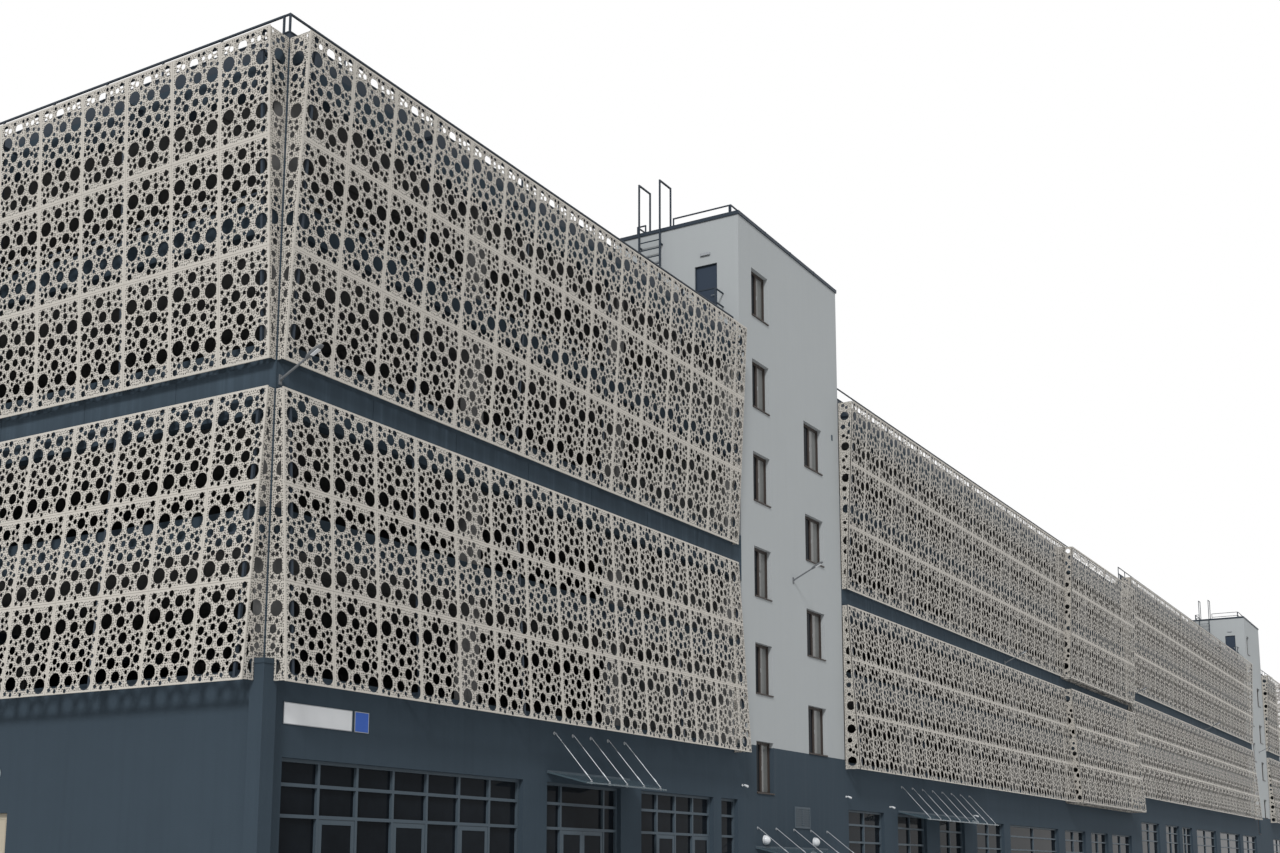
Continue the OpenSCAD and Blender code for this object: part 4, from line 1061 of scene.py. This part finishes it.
class CARPARK_OT_bands(Operator):
    """Panels of the waist band, and the low wall along the roof edge with its metal caps"""
    bl_idname = "car_park.bands"
    bl_label = "Bands and roof edge"

    def execute(self, context):
        sizes = sizes_of("screens")
        panel = sizes_of("fittings").band_panel
        top = ROOF_EDGE + sizes.upstand
        bands, caps = [], []
        for facade, start, end, high in WALLS:
            rise = RISE * high
            count = round((end - start) / panel)
            width = (end - start) / count
            places = [(start + k * width, rise, 0) for k in range(count)]
            band = block((0.9, sizes.waist_low + 1, 0.0), (width - 0.9, sizes.waist_high - 1, 0.8), 0.3)
            bands.append(on_facade(facade, repeated(band, places)))
            upstand = block((start, ROOF_EDGE + rise, -6), (end, top + rise, -0.2), 0.3)
            cap = block((0.2, top - 1.5, -8.5), (width - 0.2, top + 1.5, 1.5), 0.5)
            seam = block((-3, top - 1.0, -8.9), (3, top + 2.1, 1.9), 0.4)
            caps.append(on_facade(facade, upstand))
            caps.append(on_facade(facade, repeated(cap, places)))
            caps.append(on_facade(facade, repeated(seam, places[1:])))
        coat = finish("band", group_of("finishes").dark_render, 0.8, specular=0.12, spread=0.07, streak=0.3,
                      tone=1.9)
        add_piece("waist_band_panels", merged(bands), coat, "dark_render")
        add_piece("roof_edge_caps", merged(caps), worn("grey_steel"), "grey_steel")
        return {"FINISHED"}


# Roof rail: distance of its first post from a wall's end, rough pitch of the posts, and thickness
RAIL_INSETS = {"front": 13.0, "back": 13.0, "left": 30.0, "right": 30.0}
RAIL_PITCH = 176.0
RAIL_BAR = 4.0

# Thickness of a tower's walls, and how far the copings stand over it on either side
TOWER_WALL = 25.0
OVERHANG = 4.6

# Roof door in a tower's side wall: its lower left corner, width and height, and the middle of its lamp
ROOF_DOOR = (-161.5, 1917.0)
ROOF_DOOR_SIZE = (85.0, 213.5)
ROOF_LAMP = (-120.0, 2165.0)


class CARPARK_OT_roof_details(Operator):
    """Feet and corner bars of the roof rail, covers on the tower copings, and fittings at the roof doors"""
    bl_idname = "car_park.roof_details"
    bl_label = "Roof details"

    def execute(self, context):
        shoe = merged([block((-5, 0, -20), (5, 1.6, -10), 0.3), block((-3, 1.6, -18), (3, 6, -12), 0.3)])
        rails = []
        for facade, start, end, high in WALLS:
            first = start + RAIL_INSETS[facade] + RAIL_BAR / 2
            length = end - start - 2 * RAIL_INSETS[facade]
            count = max(1, round(length / RAIL_PITCH))
            places = [(first + (length - RAIL_BAR) * k / count, ROOF_EDGE + 0.5 + RISE * high, 0)
                      for k in range(count + 1)]
            rails.append(on_facade(facade, repeated(shoe, places)))
        rail_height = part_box("roof_rails_ends")[1][2] / MM - RISE - ROOF_EDGE
        bar = block((0, 0, -17), (15, RAIL_BAR, -13), 0.4)
        for facade, start, end, high in WALLS:
            if facade in ("left", "right"):
                places = [(along, ROOF_EDGE + up + RISE * high, 0) for along in (start + 16, end - 31)
                          for up in (rail_height - RAIL_BAR, rail_height / 2)]
                rails.append(on_facade(facade, repeated(bar, places)))

        cover = block((-4, -13, -OVERHANG), (4, 0.8, TOWER_WALL + OVERHANG), 0.4)
        frame_bars = rim(*ROOF_DOOR_SIZE, 4, -9, -4)
        handle = merged([block((70, 96, -8), (75, 112, -6.6), 0.3),
                         tube([(72.5, 104, -7), (72.5, 104, -3), (60, 104, -3)], 1.1, 8, (0, 1, 0))])
        lamp = block((-18, -5, 0), (18, 5, 6), 1.2)
        covers, lights = [], []
        for side, tower, lift in TOWERS:
            covers.append(repeated(cover, [(along, TOWER_TOP + lift, out)
                                           for along in np.arange(1, 4) * TOWER_W / 4 + tower
                                           for out in (-TOWER_WALL, -TOWER_D)]))
            rails.append(on_facade(side, shifted(frame_bars, ROOF_DOOR[0], ROOF_DOOR[1] + lift, 0)))
            lights.append(on_facade(side, shifted(handle, ROOF_DOOR[0], ROOF_DOOR[1] + lift, 0)))
            lights.append(on_facade(side, shifted(lamp, ROOF_LAMP[0], ROOF_LAMP[1] + lift, 0)))
        add_piece("roof_rail_feet", merged(rails), worn("grey_steel"), "grey_steel")
        add_piece("coping_covers", on_facade("front", merged(covers)), worn("grey_steel"), "grey_steel")
        add_piece("roof_door_fittings", merged(lights), worn("rod_steel"), "rod_steel")
        return {"FINISHED"}


# Tower windows: distance of a column from the tower's edge, width, foot of the lowest, pitch and number
WINDOW_COLUMNS = [(94.0, 125.0, 400.0, 313.0, 6), (500.0, 153.0, 550.0, 332.0, 4)]
WINDOW_HEIGHT = 165.0
WINDOW_BAR = 5.0
WINDOW_FACE = -15.0


class CARPARK_OT_tower_windows(Operator):
    """Sashes, panes and handles of the stair tower windows"""
    bl_idname = "car_park.tower_windows"
    bl_label = "Tower windows"

    def execute(self, context):
        sash = sizes_of("fittings").sash
        face = WINDOW_FACE
        tall = WINDOW_HEIGHT - 2 * WINDOW_BAR
        grip = block((0.8, 70, face), (2.6, 84, face + 1.4), 0.4)
        bars, handles, dark, light = [], [], [], []
        for _, tower, lift in TOWERS:
            for along, width, low, pitch, count in WINDOW_COLUMNS:
                wide = width / 2 - 1.5 * WINDOW_BAR
                middle = (width + WINDOW_BAR) / 2
                frame_bars = rim(wide, tall, sash, face - 4.2, face)
                pane = block((0.2, 0.2, face - 5.2), (wide - 0.2, tall - 0.2, face - 3.4), 0.2)
                for k in range(count):
                    foot = low + k * pitch + lift + WINDOW_BAR
                    for place, panes in ((WINDOW_BAR, dark), (middle, light)):
                        bars.append(shifted(frame_bars, tower + along + place, foot, 0))
                        panes.append(shifted(pane, tower + along + place, foot, 0))
                    handles.append(shifted(grip, tower + along + middle, foot, 0))
        frames = window_frame_finish()
        add_piece("window_sashes", on_facade("front", merged(bars)), frames, "dark_frames")
        add_piece("window_handles", on_facade("front", merged(handles)), worn("rod_steel"), "rod_steel")
        curtained = finish("curtained_glass", (0.17, 0.175, 0.17), 0.08, specular=0.4, spread=0.1, size=0.02,
                           streak=0.5)
        clear = worn("window_glass")
        # The dark panes wear the near-black glass, painted shade of the unlit stairs behind them
        for name, panes, glass in (("dark_panes", dark, clear), ("light_panes", light, curtained)):
            piece = add_piece(name, on_facade("front", merged(panes)), glass, "window_glass")
            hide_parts("tower_glass")
        return {"FINISHED"}


def span_on(facade, node):
    """Lowest and highest (along, up, out) of a node on a facade."""
    origin, along, out = FACADES[facade]
    corners = np.array(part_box(node)) / MM - origin
    places = np.stack([corners @ along, corners @ UP, corners @ out], 1)
    return places.min(0), places.max(0)


# Leaf of a glazed door: width of its upright and top bars, height of its foot bar, and place of its pane
STILE = 9.0
FOOT_BAR = 18.0
PANE_FACE = -14.45

# Pull bars: distance from the leaf's free edge, below zero where that is its right edge
PULLS = {"shop_door_%d" % k: -6.0 for k in range(1, 6)}
PULLS |= {"pair_door_left": -4.75, "pair_door_right": 4.75}


class CARPARK_OT_doors(Operator):
    """Panes, glazing beads, pulls and locks of the ground floor doors"""
    bl_idname = "car_park.doors"
    bl_label = "Doors"

    def execute(self, context):
        radius = sizes_of("fittings").pull
        for door, offset in PULLS.items():
            low, high = span_on("front", door)
            corner = (low[0] + STILE, low[1] + FOOT_BAR)
            width, height = high[0] - low[0] - 2 * STILE, high[1] - low[1] - FOOT_BAR - STILE
            pane = block((0.1, 0.1, PANE_FACE), (width - 0.1, height - 0.1, PANE_FACE + 0.5), 0.15)
            add_piece(door + "_pane", on_facade("front", shifted(pane, *corner, 0)), worn("window_glass"),
                      "window_glass", door)
            beads = shifted(rim(width, height, 1.3, PANE_FACE + 0.2, -12.7, 0.3), *corner, 0)
            kick = block((low[0] + 2, low[1] + 2, -13.2), (high[0] - 2, low[1] + 14, -12.8), 0.15)
            add_piece(door + "_beads", on_facade("front", merged([beads, kick])), worn("dark_frames"),
                      "dark_frames", door)
            grip = (high[0] if offset < 0 else low[0]) + offset
            path = [(grip, low[1] + up, -11.0) for up in (76.0, 77.5, 132.5, 134.0)]
            bar = tube(path, [radius * 0.7, radius, radius, radius * 0.7], 14)
            lock = shifted(turned([(2.0, 0), (2.0, 0.8), (1.4, 1.2)], 14), grip, low[1] + 66, -13.1)
            add_piece(door + "_pull", on_facade("front", merged([bar, lock])), worn("rod_steel"),
                      "rod_steel", door)
        low, high = span_on("left", "side_door")
        width, height = high[0] - low[0], high[1] - low[1]
        leaf = shifted(rim(width - 32, height - 20, 1.5, -12.1, -11.2, 0.3), low[0] + 15, low[1] + 8, 0)
        add_piece("side_door_panel", on_facade("left", leaf), worn("door_beige"), "door_beige", "side_door")
        lever = merged([tube([(0, 0, 0), (0, 0, 4), (16, 0, 4.6)], 1.2, 10, (0, 1, 0)),
                        turned([(3.2, 0), (3.2, 1.0), (2.4, 1.6)], 16)])
        add_piece("side_door_lever", on_facade("left", shifted(lever, low[0] + 10, 106, -12)),
                  worn("rod_steel"), "rod_steel", "side_door")
        return {"FINISHED"}


# Canopies: start, length, height at the wall, rise of the rods, number of rods, first rod and pitch
CANOPIES = [
    (994.0, 400.0, 402.0, 95.0, 5, 1025.0, 86.0),
    (2170.0, 560.0, 235.0, 58.0, 5, 2185.0, 136.0),
    (3415.0, 890.0, 388.0, 92.0, 8, 3460.0, 116.0)]

# How far the canopies reach out from the wall, how much they fall on the way, and where their rods end
CANOPY_REACH = 116.0
CANOPY_DROP = 29.0
ROD_REACH = CANOPY_REACH - 6


class CARPARK_OT_canopies(Operator):
    """Tie rods, rosettes, glass clamps and wall profiles of the canopies"""
    bl_idname = "car_park.canopies"
    bl_label = "Canopies"

    def execute(self, context):
        sizes = sizes_of("fittings")
        fall = math.atan2(CANOPY_DROP, CANOPY_REACH)
        plate = sizes.rosette
        rose = turned([(plate, 0), (plate, 1.0), (plate * 0.75, 1.8), (1.9, 2.2), (1.9, 5.0),
                       (1.2, 5.6)], 16)
        clamp = turned([(plate * 0.8, -5.2), (plate * 0.8, 0.6), (plate * 0.6, 1.6), (1.7, 2.0),
                        (1.7, 4.6), (1.1, 5.2)], 14)
        steel, profiles = [], []
        for start, length, level, rise, count, first, pitch in CANOPIES:
            foot = np.array((0, level - CANOPY_DROP * ROD_REACH / CANOPY_REACH + 3.2, ROD_REACH))
            head = np.array((0, level + rise, 4.5))
            way = foot - head
            path = [head + way * share for share in (0.0, 0.80, 0.805, 0.90, 0.905, 1.0)]
            thick = sizes.rod * np.array((1, 1, 1.7, 1.7, 1, 1))
            one = merged([tube(path, thick, 10), shifted(rose, 0, level + rise, 0),
                          aimed(clamp, math.pi / 2 - fall, foot - (0, 3.2, 0))])
            steel.append(repeated(one, [(first + k * pitch, 0, 0) for k in range(count)]))
            profiles.append(block((start - 1, level - 6, 0), (start + length + 1, level + 2.5, 3.5), 0.6))
        piece = add_piece("tie_rods", on_facade("front", merged(steel)), worn("rod_steel"), "rod_steel")
        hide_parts("canopy_rods")
        add_piece("canopy_profiles", on_facade("front", merged(profiles)), worn("dark_frames"),
                  "dark_frames")
        return {"FINISHED"}


# Street lamps: place along the front and height of each seat, and the tilt of the arms
LAMP_HEIGHT = 1125.0
LAMP_MARKS = [(along, LAMP_HEIGHT) for along in (12.0, 2482.0, 4867.0)]
LAMP_MARKS += [(along, LAMP_HEIGHT + RISE) for along in (7420.0, 9920.0, 12442.0)]
LAMP_TILT = math.radians(26)

# Round lamps: place along the first tower and height, and place along the left side and height
TOWER_LAMPS = ((146.0, 257.0), (532.0, 257.0))
SIDE_LAMP = (PLAN_DEPTH - 775, 362.0)


class CARPARK_OT_lamps(Operator):
    """Street lamp arms with their heads, and the round wall lamps"""
    bl_idname = "car_park.lamps"
    bl_label = "Lamps"

    def execute(self, context):
        head_rows = [(76.0, 2.8, 2.4, 0.2), (81.0, 5.2, 3.4, 0.8), (90.0, 7.0, 4.0, 1.0),
                     (106.0, 7.2, 3.8, 1.0), (117.0, 6.2, 2.8, 0.8), (121.5, 4.4, 1.4, 0.6)]
        sides = 20
        circle = ring(1.0, sides)
        square = np.sign(circle) * np.abs(circle) ** 0.7
        x, y = square.T
        head = lofted([np.column_stack([x * wide, y * high + up, np.full(sides, along)])
                       for along, wide, high, up in head_rows])
        arm = turned([(3.6, 1.2), (3.6, 7.0), (2.6, 8.0), (2.5, 30.0), (2.2, 76.0), (3.0, 77.0),
                      (3.0, 83.0)], 16)
        seat = block((-4.6, -11, 0), (4.6, 11, 2.2), 0.6)
        bolts = [shifted(turned([(1.3, 0), (1.3, 0.8), (0.8, 1.2)], 8), 0, up, 2.2) for up in (-8, 8)]
        glow = block((-4.8, -3.9, 90), (4.8, -2.0, 112), 0.5)
        paint = finish("lamp_paint", group_of("finishes").lamp_grey, 0.45, specular=0.3, spread=0.04)
        grey, glowing = [], []
        for along, up in LAMP_MARKS:
            grey.append(shifted(merged([seat, *bolts]), along, up, 0))
            grey.append(aimed(merged([arm, head]), LAMP_TILT, (along, up, 0)))
            glowing.append(aimed(glow, LAMP_TILT, (along, up, 0)))
        piece = add_piece("lamp_arms", on_facade("front", merged(grey)), paint, "grey_steel")
        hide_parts("street_lamps")
        add_piece("lamp_panels", on_facade("front", merged(glowing)), worn("lamp_white"), "lamp_white")

        angle = np.linspace(0, math.pi / 2, 9)
        dome = [(15.5, 0), (15.5, 2.4), (14.7, 2.7), (14.7, 3.5)]
        dome += list(zip(15.2 * np.cos(angle), 4 + 15 * np.sin(angle)))
        lamp = turned(dome, 32)
        round_lamps = [on_facade("front", shifted(lamp, TOWER_1 + along, up, 0))
                       for along, up in TOWER_LAMPS]
        round_lamps.append(on_facade("left", shifted(lamp, *SIDE_LAMP, 0)))
        piece = add_piece("round_lamps", merged(round_lamps), worn("lamp_white"), "lamp_white", smooth=True)
        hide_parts("wall_lamps")
        return {"FINISHED"}


# Cameras: place along the front and height of each seat, and the tilt of the bodies
CAMERA_MARKS = [(TOWER_1 - 10, 420.0), (MIDDLE + 5, 420.0), (MIDDLE + 430, 400.0), (MIDDLE + 1430, 400.0)]
CAMERA_TILT = math.radians(-22)

# Bare plates on the corner: foot and height of both, and name, place along the front and width of each
PLATE_FOOT = 442.0
PLATE_HEIGHT = 41.0
PLATES = (("long_plate", 59.0, 201.0), ("square_plate", 270.0, 43.0))


class CARPARK_OT_plates(Operator):
    """Small cameras and the two bare plates on the corner"""
    bl_idname = "car_park.plates"
    bl_label = "Cameras and plates"

    def execute(self, context):
        seat = turned([(3.6, 0), (3.6, 1.4), (2.4, 2.2), (1.5, 2.4), (1.5, 8)], 16)
        body = turned([(2.0, 0), (3.1, 0.8), (3.1, 13), (2.7, 14)], 18)
        hood = turned([(3.5, 6), (3.5, 15)], 18)
        lens = turned([(2.1, 14.0), (1.9, 14.5), (0.8, 14.8)], 14)
        white, dark = [], []
        for along, up in CAMERA_MARKS:
            white.append(shifted(seat, along, up, 0))
            white += [aimed(part, CAMERA_TILT, (along, up + 1, 6.5)) for part in (body, hood)]
            dark.append(aimed(lens, CAMERA_TILT, (along, up + 1, 6.5)))
        piece = add_piece("camera_bodies", on_facade("front", merged(white)), worn("lamp_white"),
                          "lamp_white")
        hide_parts("cameras")
        add_piece("camera_lenses", on_facade("front", merged(dark)), worn("window_glass"), "window_glass")

        blue = finish("blue_plate", group_of("finishes").blue, 0.4, specular=0.3, spread=0.03)
        for (name, along, width), colour in zip(PLATES, (worn("lamp_white"), blue)):
            face = block((0, 0, 0.8), (width, PLATE_HEIGHT, 1.8), 0.3)
            edge = shifted(rim(width + 2, PLATE_HEIGHT + 2, 1.6, 0, 2.2, 0.3), -1, -1, 0)
            for label, one, look, slot in ((name, face, colour, "lamp_white"),
                                           (name + "_edge", edge, worn("rod_steel"), "rod_steel")):
                add_piece(label, on_facade("front", shifted(one, along, PLATE_FOOT, 0)), look, slot)
        return {"FINISHED"}


class CARPARK_OT_finishes(Operator):
    """Finishes for every node of the model"""
    bl_idname = "car_park.finishes"
    bl_label = "Finishes"

    def execute(self, context):
        made = slot_finishes()
        own = {"wall_vents": made["dark_frames"], "tower_copings": made["grey_steel"],
               "tower_doors": made["dark_render"], "tower_window_frames": window_frame_finish()}
        for row in frame["record"]["subparts"]:
            node = frame["nodes"][row["node"]]
            for place in node.material_slots:
                place.link = "OBJECT"
                place.material = own.get(row["node"], made[row["material_slot"]])
        return {"FINISHED"}


# Floor: half its width, and its level just under the model, in metres
FLOOR_HALF = 60.0
FLOOR_LEVEL = -0.0005

# Direction that the soft key light comes from, and its width
KEY_FROM = (-0.74, -0.32, 0.59)
KEY_ANGLE = math.radians(12)


class CARPARK_OT_studio(Operator):
    """Floor, soft light, white background and the camera"""
    bl_idname = "car_park.studio"
    bl_label = "Studio"

    def execute(self, context):
        scene = context.scene
        look = group_of("studio")
        corners = [(x * FLOOR_HALF, y * FLOOR_HALF, FLOOR_LEVEL)
                   for x, y in ((-1, -1), (1, -1), (1, 1), (-1, 1))]
        ground = bpy.data.meshes.new("floor")
        ground.from_pydata(corners, [], [(0, 1, 2, 3)])
        ground.materials.append(finish("floor", look.floor, 0.9, specular=0.1, spread=0.0))
        floor = bpy.data.objects.new("floor", ground)
        scene.collection.objects.link(floor)

        world = bpy.data.worlds.new("studio")
        scene.world = world
        world.use_nodes = True
        tree = world.node_tree
        shown = tree.nodes["Background"]
        path = put(tree, "LightPath")
        direct = calculate(tree, "MAXIMUM", path.outputs["Is Camera Ray"], path.outputs["Is Glossy Ray"])
        white = calculate(tree, "MAXIMUM", direct, path.outputs["Is Transmission Ray"])
        strength = calculate(tree, "ADD", calculate(tree, "MULTIPLY", white, 1.0 - look.sky), look.sky)
        shown.inputs["Color"].default_value = (1, 1, 1, 1)
        tree.links.new(strength, shown.inputs["Strength"])

        lamp = bpy.data.lights.new("key", "SUN")
        lamp.energy = look.key
        lamp.angle = KEY_ANGLE
        key = bpy.data.objects.new("key", lamp)
        key.rotation_euler = Vector(KEY_FROM).to_track_quat("Z", "Y").to_euler()
        scene.collection.objects.link(key)

        lens = bpy.data.cameras.new("camera")
        lens.sensor_width = 36
        lens.lens = look.lens
        lens.shift_x = look.shift_x
        lens.shift_y = look.shift_y
        lens.clip_start = 0.05
        lens.clip_end = 500
        camera = bpy.data.objects.new("camera", lens)
        flat = math.cos(look.pitch)
        ahead = Vector((math.cos(look.yaw) * flat, math.sin(look.yaw) * flat, math.sin(look.pitch)))
        right = Vector((math.sin(look.yaw), -math.cos(look.yaw), 0))
        up = right.cross(ahead)
        side = right * math.cos(look.roll) + up * math.sin(look.roll)
        top = up * math.cos(look.roll) - right * math.sin(look.roll)
        turn = Matrix((side, top, -ahead)).transposed().to_4x4()
        camera.matrix_world = Matrix.Translation(look.place) @ turn
        scene.collection.objects.link(camera)
        scene.camera = camera
        scene.view_settings.view_transform = "Standard"
        return {"FINISHED"}


class CARPARK_PT_sidebar(Panel):
    """Sizes, colours and pieces in the sidebar"""
    bl_label = "Car park"
    bl_idname = "CARPARK_PT_sidebar"
    bl_space_type = "VIEW_3D"
    bl_region_type = "UI"
    bl_category = "Car park"

    def draw(self, context):
        for name, kind in SETTINGS.items():
            box = self.layout.box()
            box.label(text=kind.__doc__)
            for field in kind.__annotations__:
                box.prop(getattr(context.scene, "car_park_" + name), field)
        for operator in OPERATORS:
            self.layout.operator(operator.bl_idname)


SETTINGS = {"screens": ScreenSizes, "fittings": FittingSizes, "finishes": Finishes, "studio": Studio}
OPERATORS = (
    CARPARK_OT_near_screens,
    CARPARK_OT_far_screens,
    CARPARK_OT_hidden_screens,
    CARPARK_OT_screen_ends,
    CARPARK_OT_seam_covers,
    CARPARK_OT_bands,
    CARPARK_OT_roof_details,
    CARPARK_OT_tower_windows,
    CARPARK_OT_doors,
    CARPARK_OT_canopies,
    CARPARK_OT_lamps,
    CARPARK_OT_plates,
    CARPARK_OT_finishes,
    CARPARK_OT_studio,
)


def register():
    """Makes the classes and the scene's settings known."""
    for kind in (*SETTINGS.values(), *OPERATORS, CARPARK_PT_sidebar):
        bpy.utils.register_class(kind)
    for name, kind in SETTINGS.items():
        setattr(bpy.types.Scene, "car_park_" + name, PointerProperty(type=kind))


def unregister():
    """Takes the settings and classes away again, last first."""
    for name in reversed(SETTINGS):
        delattr(bpy.types.Scene, "car_park_" + name)
    for kind in reversed((*SETTINGS.values(), *OPERATORS, CARPARK_PT_sidebar)):
        bpy.utils.unregister_class(kind)


def main():
    """Builds every piece in order."""
    register()
    for operator in OPERATORS:
        family, name = operator.bl_idname.split(".")
        if getattr(getattr(bpy.ops, family), name)() != {"FINISHED"}:
            raise RuntimeError(operator.bl_idname + " did not finish")


if __name__ == "__main__":
    main()
